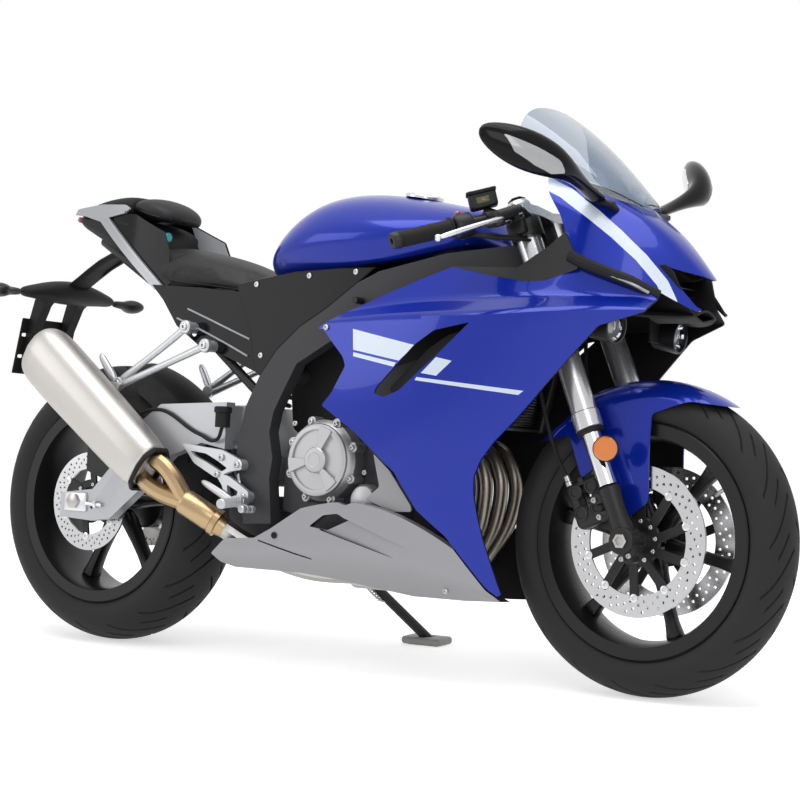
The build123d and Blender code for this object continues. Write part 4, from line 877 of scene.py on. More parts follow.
def rim_mesh(wheel, hub):
    bead, at = wheel["bead"], wheel["at"]
    edge = bead + 7
    barrel = lathe([(-edge, 201), (-bead + 6, 196), (0, 190), (bead - 6, 196), (edge, 201),
                    (edge + 1, LIP_RADIUS - 3), (edge - 2, LIP_RADIUS), (bead + 1, LIP_RADIUS),
                    (bead, SEAT_RADIUS - 1), (-bead, SEAT_RADIUS - 1), (-bead - 1, LIP_RADIUS),
                    (2 - edge, LIP_RADIUS), (-edge - 1, LIP_RADIUS - 3)], at, 128)
    centre = lathe(hub, at, 64)
    arms = []
    for number in range(6):
        turn = Matrix.Rotation(-math.radians(wheel["first"] + 60 * number), 4, "Y")
        rows = []
        for reach, wide, deep in ((24, 21, wheel["spoke"]), (70, 14, wheel["spoke"] - 2),
                                  (140, 11, wheel["spoke"] - 3), (180, 14, wheel["spoke"]),
                                  (197, 21, wheel["spoke"] + 4)):
            ring = [(wide, deep - 5), (wide - 6, deep), (6 - wide, deep), (-wide, deep - 5),
                    (-wide, 5 - deep), (6 - wide, -deep), (wide - 6, -deep), (wide, 5 - deep)]
            rows.append([Vector(at) + turn @ Vector((reach, y, x)) for x, y in ring])
        arms.append(smoothed(cage(rows, closed=True, caps=True), 1))
    return joined(barrel, centre, *arms)


def disc_mesh(wheel):
    # A drilled band: faces of a fine ring are left out where the holes are, then rounded
    steps, rows, thick = 120, 6, 5
    at, inner, outer, band = wheel["at"], wheel["disc_face"], wheel["disc_radius"], wheel["disc_band"]
    mesh = bmesh.new()
    chains = []
    for row in range(rows + 1):
        radius = outer - band + band * row / rows
        points = []
        for step in range(steps):
            angle = math.tau * step / steps
            points.append(at + Vector((radius * math.cos(angle), -inner, radius * math.sin(angle))))
        chains.append(loop(mesh, points))
    holes = []
    for row, ((near, _), (far, _)) in enumerate(zip(chains, chains[1:])):
        for step in range(steps):
            after = (step + 1) % steps
            face = mesh.faces.new((near[step], near[after], far[after], far[step]))
            if 0 < row < rows - 1 and (step + 2 * row) % 5 == 0:
                holes.append(face)
    bmesh.ops.delete(mesh, geom=holes, context="FACES_ONLY")
    bmesh.ops.recalc_face_normals(mesh, faces=mesh.faces)
    return worked(mesh, ("SUBSURF", {"levels": 1, "render_levels": 1}),
                  ("SOLIDIFY", {"thickness": thick, "offset": 1.0}))


def carrier_mesh(wheel):
    # Bolting ring, arms out to the drilled band
    at, inner, arms = wheel["at"], wheel["disc_face"], wheel["disc_arms"]
    band_radius = wheel["disc_radius"] - wheel["disc_band"]
    ring = lathe([(-inner - 4, 31), (-inner - 4, 46), (-inner - 1, 49), (-inner, 49), (-inner, 31)], at, 48)
    made = [ring]
    for number in range(arms):
        turn = Matrix.Rotation(-math.tau * (number + 0.25) / arms, 4, "Y")
        rows = [[at + turn @ Vector((reach, -inner - deep, side + skew)) for side, deep in
                 ((9, 0.5), (9, 5), (-9, 5), (-9, 0.5))]
                for reach, skew in ((42, 0), (band_radius + 5, CARRIER_SKEW))]
        made.append(cage(rows, closed=True, caps=True))
    return joined(*made)


def carrier_bolts(wheel):
    at, inner, arms = wheel["at"], wheel["disc_face"], wheel["disc_arms"]
    band_radius = wheel["disc_radius"] - wheel["disc_band"]
    made = []
    for number in range(arms):
        turn = Matrix.Rotation(-math.tau * (number + 0.25) / arms, 4, "Y")
        start = at + turn @ Vector((band_radius + 3, -inner - 4.5, CARRIER_SKEW))
        made.append(turned([(0, 8), (2, 8), (2.6, 6), (2.6, 3.5), (1.2, 3), (1.2, 0.01)], start,
                           start + OUTWARD, 20))
        start = at + turn @ Vector((39, -inner - 3.8, 0))
        made.append(bolt(start, OUTWARD, 4.5, 4))
    return joined(*made)


def fork_matrix():
    turn = Matrix((FORK_ACROSS, -OUTWARD, FORK_ALONG)).transposed().to_4x4()
    return Matrix.Translation(steer_point(0, 0, 0)) @ turn


def in_fork(mesh):
    bmesh.ops.transform(mesh, matrix=fork_matrix(), verts=mesh.verts)
    return mesh


def caliper_mesh():
    # A four-piston body that straddles the disc behind the fork foot, right side, in fork coordinates
    body = block((78, 50, 94), (-33, -65, 103), corner=13, segments=4)
    slot = turned([(0, 149), (9.5, 149)], (30, -55.3, 0), (30, -64.8, 0), 96)
    body = cut(body, slot)
    window = block((34, 60, 50), (-32, -64, 112), corner=4)
    body = cut(body, window)
    caps = []
    cap = [(0, 15), (4, 15), (6, 12), (6, 9), (4, 8), (4, 0.01)]
    for x, z in ((-52, 84), (-14, 84), (-50, 128), (-14, 128)):
        caps.append(turned(cap, (x, -88, z), (x, -95, z), 28))
    bridge = block((12, 46, 14), (-33, -66, 146), corner=3)
    return joined(body, bridge, *caps)


def fork_foot_mesh():
    # Cast foot of one fork leg, right side, in fork coordinates
    rows = []
    for z, deep, wide in ((112, 24, 22), (100, 24, 22), (70, 19, 18), (30, 22, 20), (0, 26, 21),
                          (-26, 20, 19), (-38, 12, 14)):
        ring = []
        for step in range(16):
            angle = math.tau * step / 16
            ring.append((30 + deep * math.cos(angle), -105 + wide * math.sin(angle), z))
        rows.append(ring)
    body = smoothed(cage(rows, closed=True, caps=True), 1)
    eye = turned([(0, 24), (2, 26), (42, 26), (44, 24)], (30, -83, 0), (30, -127, 0), 40)
    lug = block((30, 26, 22), (2, -92, 96), corner=5)
    low_lug = block((26, 26, 20), (4, -92, 62), corner=5)
    pinch = block((18, 34, 22), (30, -105, -34), corner=5)
    return joined(body, eye, lug, low_lug, pinch)


def make_wheels():
    piece("front_tyre_tread", tyre_mesh(FRONT_WHEEL), TYRE, "front_wheel", ["front_tyre"])
    piece("rear_tyre_tread", tyre_mesh(REAR_WHEEL), TYRE, "rear_wheel", ["rear_tyre"])
    front_hub = [(-57, 13), (-57, 44), (-50, 46), (-46, 34), (-20, 27), (20, 27), (46, 34), (50, 46),
                 (57, 44), (57, 13)]
    rear_hub = [(-102, 13), (-102, 44), (-94, 46), (-90, 34), (-30, 30), (30, 34), (62, 48), (72, 58),
                (103, 57), (103, 13)]
    piece("front_wheel_casting", rim_mesh(FRONT_WHEEL, front_hub), WHEEL_BLACK, "front_wheel", ["front_rim"])
    piece("rear_wheel_casting", rim_mesh(REAR_WHEEL, rear_hub), WHEEL_BLACK, "rear_wheel", ["rear_rim"])
    piece("front_disc_bands", mirrored(disc_mesh(FRONT_WHEEL)), DISC_STEEL, "front_wheel",
          ["front_discs"], sharp=40)
    piece("front_disc_carriers", mirrored(carrier_mesh(FRONT_WHEEL)), SATIN_BLACK, "front_wheel")
    piece("front_disc_bolts", mirrored(carrier_bolts(FRONT_WHEEL)), MACHINED, "front_wheel")
    piece("rear_disc_band", disc_mesh(REAR_WHEEL), DISC_STEEL, "rear_wheel", ["rear_disc"], sharp=40)
    piece("rear_disc_carrier", carrier_mesh(REAR_WHEEL), SATIN_BLACK, "rear_wheel")
    piece("rear_disc_bolts", carrier_bolts(REAR_WHEEL), MACHINED, "rear_wheel")
    piece("rear_chainwheel", sprocket_mesh(), STEEL, "rear_wheel", ["rear_sprocket"], edge=0.0005)
    valve = pin(FRONT_AXLE + Vector((150, 0, 108)), FRONT_AXLE + Vector((128, 0, 92)), 4)
    piece("front_valve", valve, STEEL, "front_wheel")


def sprocket_mesh():
    teeth = 45
    outline = []
    for tooth in range(teeth):
        for share, radius in ((0.1, 87.5), (0.38, 87.5), (0.55, 82), (0.93, 82)):
            angle = math.tau * (tooth + share) / teeth
            outline.append((REAR_AXLE.x + radius * math.cos(angle), REAR_AXLE.z + radius * math.sin(angle)))
    wheel = prism(outline, 103.5, 110.5)
    for number in range(6):
        angle = math.tau * number / 6
        spot = Vector((REAR_AXLE.x + 66 * math.cos(angle), 100, REAR_AXLE.z + 66 * math.sin(angle)))
        wheel = cut(wheel, turned([(0, 10), (14, 10)], spot, spot + Vector((0, 14, 0)), 24))
    return cut(wheel, turned([(0, 30), (14, 30)], REAR_AXLE - OUTWARD * 100, REAR_AXLE - OUTWARD * 114, 48))


def make_fork():
    outer = turned([(0, 25), (2, 27.5), (34, 27.5), (36, 25.4), (200, 25), (470, 25), (476, 23), (479, 20)],
                   on_tube(225), on_tube(704), 48)
    inner = turned([(0, 18.5), (116, 18.5)], on_tube(111), on_tube(227), 48)
    seal = turned([(0, 21), (1.5, 26.5), (9, 26.5), (10, 24)], on_tube(216), on_tube(226), 40)
    cap = turned([(0, 18), (8, 18), (10, 15), (10, 9), (4, 8), (4, 0.01)], on_tube(702),
                 on_tube(712), 6)
    piece("fork_sleeves", mirrored(outer), FORK_SILVER, "steering", ["fork_outer_tubes"])
    piece("fork_legs", mirrored(inner), CHROME, "steering", ["fork_inner_tubes"])
    piece("fork_seals", mirrored(seal), MATTE_BLACK, "steering")
    piece("fork_caps", mirrored(cap), GLOSS_BLACK, "steering", edge=0.0005)
    piece("fork_castings", mirrored(in_fork(fork_foot_mesh())), SATIN_BLACK, "steering", ["fork_feet"],
          edge=0.0008)
    piece("brake_calipers", mirrored(in_fork(caliper_mesh())), SATIN_BLACK, "steering", ["front_calipers"],
          edge=0.0008)
    nut = turned([(0, 15), (4, 15), (6, 13), (6, 9), (1, 8.5), (1, 0.01)], FRONT_AXLE + OUTWARD * 126.5,
                 FRONT_AXLE + OUTWARD * 133, 6)
    spacer = turned([(0, 20), (26, 20)], FRONT_AXLE + OUTWARD * 57.6, FRONT_AXLE + OUTWARD * 83, 40)
    piece("front_spindle", mirrored(joined(nut, spacer)), STEEL, "steering", ["front_axle"], edge=0.0005)
    bolts = [bolt(steer_point(x, -127, z), OUTWARD, 5, 5) for x, z in ((22, -33), (38, -33))]
    bolts += [bolt(steer_point(-8, -104, z), OUTWARD, 6, 5) for z in (62, 96)]
    piece("fork_bolts", mirrored(joined(*bolts)), STEEL, "steering")
    at = steer_point(64, -133, 172)
    facing = Vector((0.35, -0.94, 0))
    lens = turned([(0, 23), (5, 23), (8, 20), (9, 0.01)], at, at + facing * 9, 40)
    piece("fork_reflectors", mirrored(lens), AMBER, "steering")
    back = turned([(0, 12), (10, 25), (13, 25), (13, 22)], at + Vector((-4, 11, 0)), at + facing * 2, 40)
    hold = pin(steer_point(40, -112, 172), at, 5)
    piece("reflector_cups", mirrored(joined(back, hold)), MATTE_BLACK, "steering")


make_wheels()
make_fork()


# Engine, exhaust and running gear
CLUTCH_AT = (-5, 425)


def ring_sector(centre, inner, outer, start, end, near, far):
    # A raised ring segment on a side cover, angles in degrees
    steps = 12
    angles = [math.radians(start + (end - start) * step / steps) for step in range(steps + 1)]
    outline = [(centre[0] + outer * math.cos(a), centre[1] + outer * math.sin(a)) for a in angles]
    outline += [(centre[0] + inner * math.cos(a), centre[1] + inner * math.sin(a)) for a in reversed(angles)]
    return prism(outline, near, far)


def clutch_cover_mesh():
    x, z = CLUTCH_AT
    base = turned([(0, 84), (30, 84), (36, 80), (44, 74), (48, 68), (49, 0.01)], (x, -116, z), (x, -165, z),
                  72)
    boss = turned([(0, 27), (10, 27), (13, 24), (13.5, 16), (12, 14), (12, 0.01)], (x, -162, z),
                  (x, -178, z), 48)
    rim = turned([(0, 76), (5, 74), (8, 68), (7.5, 62), (0, 62)], (x, -161, z), (x, -170, z), 72)
    arms = []
    for start in (70, 190, 310):
        arms.append(ring_sector(CLUTCH_AT, 24, 70, start - 13, start + 13, -162, -172))
    ears = []
    for number in range(8):
        angle = math.radians(20 + 45 * number)
        spot = Vector((x + 84 * math.cos(angle), -118, z + 84 * math.sin(angle)))
        ears.append(turned([(0, 11), (32, 11), (34, 9)], spot, spot + Vector((0, -34, 0)), 20))
    return joined(base, boss, rim, *arms, *ears)


def clutch_bolts():
    x, z = CLUTCH_AT
    made = []
    for number in range(8):
        angle = math.radians(20 + 45 * number)
        made.append(bolt((x + 84 * math.cos(angle), -151.5, z + 84 * math.sin(angle)), OUTWARD, 6, 5))
    for spot in ((140, -132, 372), (150, -128, 330), (-96, -124, 500), (96, -133, 404)):
        made.append(bolt(spot, OUTWARD, 6, 5))
    return joined(*made)


def make_engine():
    dressed("engine_block", DARK_CAST, "chassis", edge=0.004)
    dome = turned([(0, 33), (24, 33), (32, 28), (36, 16), (37, 0.01)], (101, -116, 348), (101, -153, 348),
                  48)
    left = turned([(0, 78), (34, 78), (42, 72), (42, 60), (48, 56), (52, 40), (52, 0.01)], (70, 116, 420),
                  (70, 168, 420), 64)
    piece("clutch_cover", clutch_cover_mesh(), CAST_ALLOY, "chassis", ["engine_covers"], edge=0.0012)
    piece("engine_domes", joined(dome, left), CAST_ALLOY, "chassis", edge=0.0008)
    left_bolts = [bolt((70 + 70 * math.cos(a), 149, 420 + 70 * math.sin(a)), (0, 1, 0), 6, 6)
                  for a in (math.tau * number / 7 for number in range(7))]
    piece("engine_bolts", joined(clutch_bolts(), *left_bolts), STEEL, "chassis")
    ribs = [block((7, 236, 96), (150 + 16 * number, 0, 470 + 22 * number), (0, 14, 0), corner=2)
            for number in range(5)]
    piece("cylinder_ribs", joined(*ribs), DARK_CAST, "chassis")
    water = hose([(140, -124, 392), (160, -138, 420), (190, -142, 470), (250, -140, 540)], 12)
    piece("water_hose", water, RUBBER, "chassis")
    panel = [(137, 444), (180, 410), (236, 342), (237, 330), (186, 328), (123, 351), (156, 377)]
    piece("engine_side_panel", prism(panel, -166, -161, corner=5), SILVER, "chassis", edge=0.001)


def radiator_mesh():
    # Frame, tanks and a stack of fins, leaned like the solid
    turn = (0, 14, 0)
    middle = Vector((356, 0, 596))
    lean_back = Matrix.Rotation(math.radians(14), 4, "Y")
    parts = [block((30, 22, 190), middle + Vector((0, side * 134, 0)), turn, corner=5) for side in (-1, 1)]
    for end in (-1, 1):
        parts.append(block((26, 260, 8), middle + lean_back @ Vector((0, 0, end * 90)), turn, corner=2))
    for row in range(28):
        parts.append(block((18, 252, 1.2), middle + lean_back @ Vector((0, 0, -82 + row * 6)), turn,
                           corner=0.3, segments=1))
    for side in (-1, 1):
        parts.append(pin((240, side * 60, 600), (345, side * 60, 600), 9))
    return joined(*parts)


MUFFLER_FROM = Vector((-420, -214, 390))
MUFFLER_TO = Vector((-772, -214, 655))


def muffler_place():
    way = (MUFFLER_TO - MUFFLER_FROM).normalized()
    turn = Matrix((OUTWARD, way.cross(OUTWARD), way)).transposed().to_4x4()
    return Matrix.Translation(MUFFLER_FROM) @ turn


def muffler_mesh():
    # Rings along the can: flat outer side with one crease, rounded edges
    length = (MUFFLER_TO - MUFFLER_FROM).length
    table = [(0.0, 40, 54), (0.03, 44, 58), (0.14, 49, 63), (0.5, 51, 67), (0.86, 52, 71), (0.95, 48, 66),
             (1.0, 36, 50)]
    rows = []
    for at, out, high in table:
        ring = [(out, high * 0.1), (out * 0.93, high * 0.62), (out * 0.5, high), (-out * 0.5, high),
                (-out, high * 0.6), (-out, -high * 0.6), (-out * 0.5, -high), (out * 0.45, -high),
                (out * 0.86, -high * 0.66)]
        rows.append([(u, v, at * length) for u, v in ring])
    return in_muffler(smoothed(cage(rows, closed=True, caps=True, creases=[(0, 0.55)]), 3))


def in_muffler(mesh):
    bmesh.ops.transform(mesh, matrix=muffler_place(), verts=mesh.verts)
    return mesh


def make_silencer():
    length = (MUFFLER_TO - MUFFLER_FROM).length
    piece("silencer", muffler_mesh(), BRUSHED, "chassis", ["muffler"])
    outlet = [turned([(0, 15), (10, 15), (10, 12), (0, 12)], (0, v, length - 4), (0, v, length + 6), 28)
              for v in (-18, 18)]
    # A black disc just inside each outlet stands for the shade deep in the pipe: painted shade
    lip = [turned([(0, 11.5), (2, 11.5), (2, 0.01)], (0, v, length - 2), (0, v, length), 24)
           for v in (-18, 18)]
    piece("silencer_outlets", in_muffler(joined(*outlet)), STEEL, "chassis")
    piece("silencer_throat_shade", in_muffler(joined(*lip)), MATTE_BLACK, "chassis")
    oval = [(40, 6), (37, 34), (20, 54), (-20, 54), (-40, 32), (-40, -32), (-20, -54), (18, -54), (34, -36)]
    rows = []
    for z, grow in ((-5, 0.9), (-5, 1.02), (3, 1.04), (3, 0.9)):
        rows.append([(u * grow, v * grow, z) for u, v in oval])
    piece("silencer_collar", in_muffler(cage(rows, closed=True)), MATTE_BLACK, "chassis")


def make_pipes():
    at = MUFFLER_FROM
    merge = Vector((-330, -186, 322))
    tail = Vector((-258, -152, 276))
    upper = hose([at + Vector((18, 0, 22)), at + Vector((46, 6, 2)), merge], 19)
    lower = hose([at + Vector((-16, 0, -22)), at + Vector((24, 8, -46)), merge], 19)
    sleeve = turned([(0, 25), (6, 28), (70, 28), (78, 26), (90, 27), (96, 24),
                     (111, 21.4)], merge + (merge - tail) * 0.12, tail, 36)
    piece("link_branches", joined(upper, lower, sleeve), BRONZE, "chassis")
    pipe = hose([tail, (-214, -126, 246), (-110, -70, 198), (30, -20, 190)], 21)
    box = block((112, 110, 52), (64, 0, 190), corner=12, segments=3)
    piece("link_pipe", joined(pipe, box), STEEL, "chassis", ["exhaust_link_pipe"])
    clamp = turned([(0, 27), (2, 30), (14, 30), (16, 27)], tail + (merge - tail) * 0.1, merge, 36)
    piece("pipe_clamp", clamp, BRONZE, "chassis")
    pipes = []
    for y in (-84, -28, 28, 84):
        pipes.append(hose([(222, y, 468), (276, y, 464), (312, y, 420), (318, y, 350), (286, y * 0.8, 262),
                           (230, y * 0.6, 200), (120, y * 0.45, 190)], 15, sides=20))
        pipes.append(turned([(0, 25), (6, 25), (8, 22)], (224, y, 468), (234, y, 467), 28))
    piece("header_pipes", joined(*pipes), HEADER_STEEL, "chassis", ["exhaust_headers"])
    piece("cooler", radiator_mesh(), SATIN_BLACK, "chassis", ["radiator"])


def chain_mesh():
    # Links set one pitch apart along the belt round both sprockets
    big, small = Vector((REAR_AXLE.x, 0, REAR_AXLE.z)), Vector((-120, 0, 400))
    big_r, small_r = 93, 41
    way = small - big
    gap = way.length
    base = math.atan2(way.z, way.x)
    open_angle = math.acos((big_r - small_r) / gap)
    upper = base + open_angle
    lower = base - open_angle

    def on(centre, radius, angle):
        return Vector((centre.x + radius * math.cos(angle), 107, centre.z + radius * math.sin(angle)))

    route = [on(big, big_r, upper)]
    turns = 40
    for step in range(1, turns + 1):
        route.append(on(big, big_r, upper + (math.tau - 2 * open_angle) * step / turns))
    for step in range(turns + 1):
        route.append(on(small, small_r, lower + 2 * open_angle * step / turns))
    route.append(route[0])
    pitch = 15.875
    spots = []
    left = 0.0
    for near, far in zip(route, route[1:]):
        span = (far - near).length
        while left <= span:
            spots.append(near.lerp(far, left / span))
            left += pitch
        left -= span
    parts = []
    for number, (near, far) in enumerate(zip(spots, spots[1:] + spots[:1])):
        along = (far - near).normalized()
        rise = Vector((-along.z, 0, along.x))
        wide = 6.2 if number % 2 else 4.4
        for side in (-1, 1):
            ring = []
            for step in range(10):
                angle = math.tau * step / 10
                end = far if math.cos(angle) > 0 else near
                ring.append(end + along * 6.4 * math.cos(angle) + rise * 6.4 * math.sin(angle))
            rows = [[point + Vector((0, side * depth, 0)) for point in ring] for depth in (wide - 1.6, wide)]
            parts.append(cage(rows, closed=True, caps=True))
        parts.append(turned([(0, 4.6), (9, 4.6)], near + Vector((0, -4.5, 0)), near + Vector((0, 4.5, 0)),
                            10))
    return joined(*parts)


def make_frame():
    dressed("main_frame", FRAME_GREY, "chassis", edge=0.004)
    dressed("subframe", SATIN_BLACK, "chassis")
    dressed("swingarm", ARM_SILVER, "chassis", edge=0.011)
    dressed("rear_caliper", SATIN_BLACK, "chassis", edge=0.004)
    dressed("rear_hugger", MATTE_BLACK, "chassis", edge=0.001)
    dressed("panel_brackets", SATIN_BLACK, "chassis", edge=0.0005)
    stay = solid_mesh("fairing_stay")
    bmesh.ops.transform(stay, matrix=UPRIGHT, verts=stay.verts)
    stay = cut(stay, block((900, 288, 900), (500, 0, 850), corner=1), "INTERSECT")
    piece("stay_bars", stay, SATIN_BLACK, "chassis", ["fairing_stay"], edge=0.0015)
    dressed("triple_clamps", MACHINED, "steering", edge=0.002)
    dressed("side_stand", SATIN_BLACK, "side_stand", edge=0.002)


def make_middle():
    # Gear case under the engine and the airbox above it
    case = prism([(-296, 326), (-215, 345), (-40, 345), (-40, 236), (-188, 246), (-286, 266)], -92, 92,
                 corner=12)
    neck = block((64, 150, 100), (-130, 0, 372), corner=8)
    ribs = [block((150, 190, 5), (-122, 0, z), corner=2) for z in (268, 292, 316)]
    piece("gear_case", joined(case, neck, *ribs), DARK_CAST, "chassis", edge=0.004)
    airbox = prism([(-146, 480), (-166, 640), (-110, 758), (120, 792), (318, 806), (338, 700), (290, 600),
                    (120, 560), (60, 500)], -72, 72, corner=18)
    lid = prism([(-100, 700), (-92, 742), (110, 776), (300, 790), (316, 720), (120, 700)], -80, 80,
                corner=14)
    piece("airbox", joined(airbox, lid), MATTE_BLACK, "chassis", edge=0.006)


def make_shock():
    coil = []
    foot, head = Vector((-248, 0, 545)), Vector((-216, 0, 652))
    way = (head - foot).normalized()
    side = Vector((0, 1, 0))
    front = side.cross(way)
    for step in range(97):
        angle = math.tau * step / 16
        swing = side * math.cos(angle) + front * math.sin(angle)
        coil.append(foot + (head - foot) * step / 96 + swing * 27)
    piece("shock_spring", hose(coil, 5), GLOSS_BLACK, "chassis")
    damper = pin((-250, 0, 536), head, 16)
    neck = pin((-214, 0, 652), (-196, 0, 716), 14)
    crossbar = pin((-196, -105, 716), (-196, 105, 716), 9)
    collar = turned([(0, 31), (8, 31)], head, head + way * 8, 36)
    piece("shock_body", joined(damper, neck, crossbar, collar), SATIN_BLACK, "chassis", ["rear_shock"])


def make_rear_axle():
    piece("chain_links", chain_mesh(), STEEL, "chassis", ["drive_chain"])
    axle = [turned([(0, 17), (3, 18), (11, 18), (12, 16)], REAR_AXLE + Vector((0, side * 152.2, 0)),
                   REAR_AXLE + Vector((0, side * 164, 0)), 6) for side in (-1, 1)]
    axle.append(turned([(0, 20), (21, 20)], REAR_AXLE + OUTWARD * 103, REAR_AXLE + OUTWARD * 123.8, 40))
    axle.append(turned([(0, 20), (20, 20)], REAR_AXLE - OUTWARD * 104, REAR_AXLE - OUTWARD * 123.8, 40))
    piece("rear_spindle", joined(*axle), STEEL, "chassis", ["rear_axle"], edge=0.0005)
    blocks = []
    for side in (-1, 1):
        blocks.append(block((66, 7, 42), REAR_AXLE + Vector((4, side * 154, -2)), corner=3))
        spots = [REAR_AXLE + Vector((x, side * 156, z)) for x, z in ((36, -4), (84, -6), (62, -5), (70, -5))]
        blocks.append(pin(spots[0], spots[1], 5))
        blocks.append(turned([(0, 9), (8, 9)], spots[2], spots[3], 6))
    piece("axle_adjusters", joined(*blocks), MACHINED, "chassis", edge=0.0005)


def make_rear_fluid():
    pot = turned([(0, 16), (30, 16), (32, 19), (42, 19), (44, 16)], (-262, -164, 486), (-262, -164, 530), 28)
    line = hose([(-262, -164, 488), (-276, -164, 460), (-330, -158, 470), (-470, -156, 520),
                 (-600, -142, 430)], 4)
    piece("rear_fluid_pot", joined(pot, line), MATTE_BLACK, "chassis")


make_engine()
make_silencer()
make_pipes()
make_frame()
make_middle()
make_shock()
make_rear_axle()
make_rear_fluid()


# Seats: foam blown up against its cover by the cloth solver
FOAM_VOXEL = 0.005
FOAM_PRESSURE = 4.0
FOAM_FRAMES = 20
FOAM_MOVE = 0.007
RIDER_SEAT = [
    (-552, 92, 806, 100, 850, 80, 891, 897),
    (-506, 106, 792, 118, 830, 94, 875, 885),
    (-440, 115, 788, 130, 817, 103, 864, 875),
    (-360, 111, 787, 128, 805, 98, 847, 857),
    (-296, 98, 779, 116, 791, 82, 824, 833),
    (-240, 80, 777, 94, 786, 62, 807, 813),
    (-206, 60, 784, 68, 790, 52, 802, 806),
]
PILLION_SEAT = [
    (-528, 46, 944, 54, 953, 45, 964, 968),
    (-560, 70, 942, 80, 963, 67, 988, 997),
    (-612, 70, 960, 80, 980, 67, 1001, 1010),
    (-662, 54, 970, 60, 982, 50, 993, 998),
]


def foam(table):
    # The shape is remeshed and pressed out from inside; it never sinks into its pan
    mesh = smoothed(cage(rounded_rows(table), closed=True, caps=True, creases=[(1, 0.6), (7, 0.6)]), 2)
    bmesh.ops.transform(mesh, matrix=STANDING, verts=mesh.verts)
    start = worked(mesh, ("REMESH", {"mode": "VOXEL", "voxel_size": FOAM_VOXEL}))
    home = [vert.co.copy() for vert in start.verts]
    pad = place_object("foam", start)
    cover = pad.modifiers.new("cover", "CLOTH")
    cover.settings.use_pressure = True
    cover.settings.uniform_pressure_force = FOAM_PRESSURE
    cover.settings.effector_weights.gravity = 0
    cover.point_cache.frame_end = FOAM_FRAMES
    scene = bpy.context.scene
    for step in range(1, FOAM_FRAMES + 1):
        scene.frame_set(step)
    data = bpy.data.meshes.new_from_object(pad.evaluated_get(bpy.context.evaluated_depsgraph_get()))
    blown = bmesh.new()
    blown.from_mesh(data)
    for vert, place in zip(blown.verts, home):
        move = vert.co - place
        move.z = max(move.z, 0)
        if move.length > FOAM_MOVE:
            move *= FOAM_MOVE / move.length
        vert.co = place + move
    scene.frame_set(1)
    old = pad.data
    bpy.data.objects.remove(pad)
    bpy.data.meshes.remove(old)
    bpy.data.meshes.remove(data)
    return smoothed(blown, 1)


def piping(mesh, places, radius):
    # A sewn edge laid on the finished cushion along (x, z) places, both sides
    tree = BVHTree.FromBMesh(mesh)
    lines = []
    for side in (-1, 1):
        laid = []
        for x, z in places:
            start = STANDING @ Vector((x, side * 400, z))
            spot = tree.ray_cast(start, (STANDING @ Vector((x, 0, z)) - start).normalized())[0]
            if spot:
                laid.append(UPRIGHT @ spot)
        lines.append(hose(laid, radius, sides=8))
    return joined(*lines)


def make_seats():
    rider = foam(RIDER_SEAT)
    seam = piping(rider, [(-506, 814), (-440, 803), (-380, 796), (-320, 789), (-262, 784), (-224, 786)], 1.8)
    piece("rider_cushion", rider, SEAT_COVER, "chassis", ["rider_seat"], lean=False)
    piece("rider_piping", seam, SATIN_BLACK, "chassis")
    pillion = foam(PILLION_SEAT)
    seam = piping(pillion, [(-538, 952), (-565, 956), (-612, 970), (-654, 977)], 1.6)
    piece("pillion_cushion", pillion, SEAT_COVER, "chassis", ["pillion_seat"], lean=False)
    piece("pillion_piping", seam, SATIN_BLACK, "chassis")


# Tail, plate holder and rear lamps
def tail_skin(rise):
    # The flank of the tail, right side, leaned in towards its top
    rows = []
    for x, half in ((-470, 109), (-526, 109), (-620, 103), (-720, 84), (-806, 55), (-850, 40)):
        rows.append([(x, -half - rise, 770), (x, -half - rise - 3, 880), (x, -half - rise + 6, 1010)])
    return smoothed(cage(rows), 2)


def tail_fin_mesh():
    # Silver band under the seat hump, running on down as a blade with a raised front edge
    band = [(-848, 972), (-835, 985), (-730, 988), (-640, 982), (-622, 972), (-634, 964), (-700, 957),
            (-494, 788), (-524, 786), (-728, 948), (-800, 966)]
    ridge = [(-634, 968), (-634, 962), (-692, 955), (-490, 788), (-501, 787), (-708, 958)]
    fin = cut(shell(tail_skin(0), 6.0), prism(band, -300, 0, corner=3), "INTERSECT")
    edge = cut(shell(tail_skin(4), 9.0), prism(ridge, -300, 0), "INTERSECT")
    return joined(fin, edge)


def tail_core_mesh():
    rows = []
    for x, half, low, high in ((-556, 102, 826, 930), (-620, 99, 850, 952), (-720, 79, 902, 968),
                               (-800, 50, 934, 968), (-846, 34, 955, 975)):
        ring = [(half * 0.8, low), (half, (low * 2 + high) / 3), (half, high - 12), (half - 14, high)]
        rows.append([(x, -y, z) for y, z in ring] + [(x, y, z) for y, z in reversed(ring)])
    core = smoothed(cage(rows, closed=True, caps=True, creases=[(line, 0.8) for line in (0, 1, 2, 5, 6, 7)]),
                    2)
    rows = []
    for x, half, low, high in ((-640, 78, 950, 1004), (-660, 78, 952, 1010), (-724, 70, 955, 1008),
                               (-800, 52, 950, 994), (-842, 34, 952, 980)):
        ring = [(half, low), (half * 0.9, high - 8), (half * 0.5, high)]
        rows.append([(x, -y, z) for y, z in ring] + [(x, y, z) for y, z in reversed(ring)])
    hump = smoothed(cage(rows, closed=True, caps=True), 2)
    return joined(core, hump)


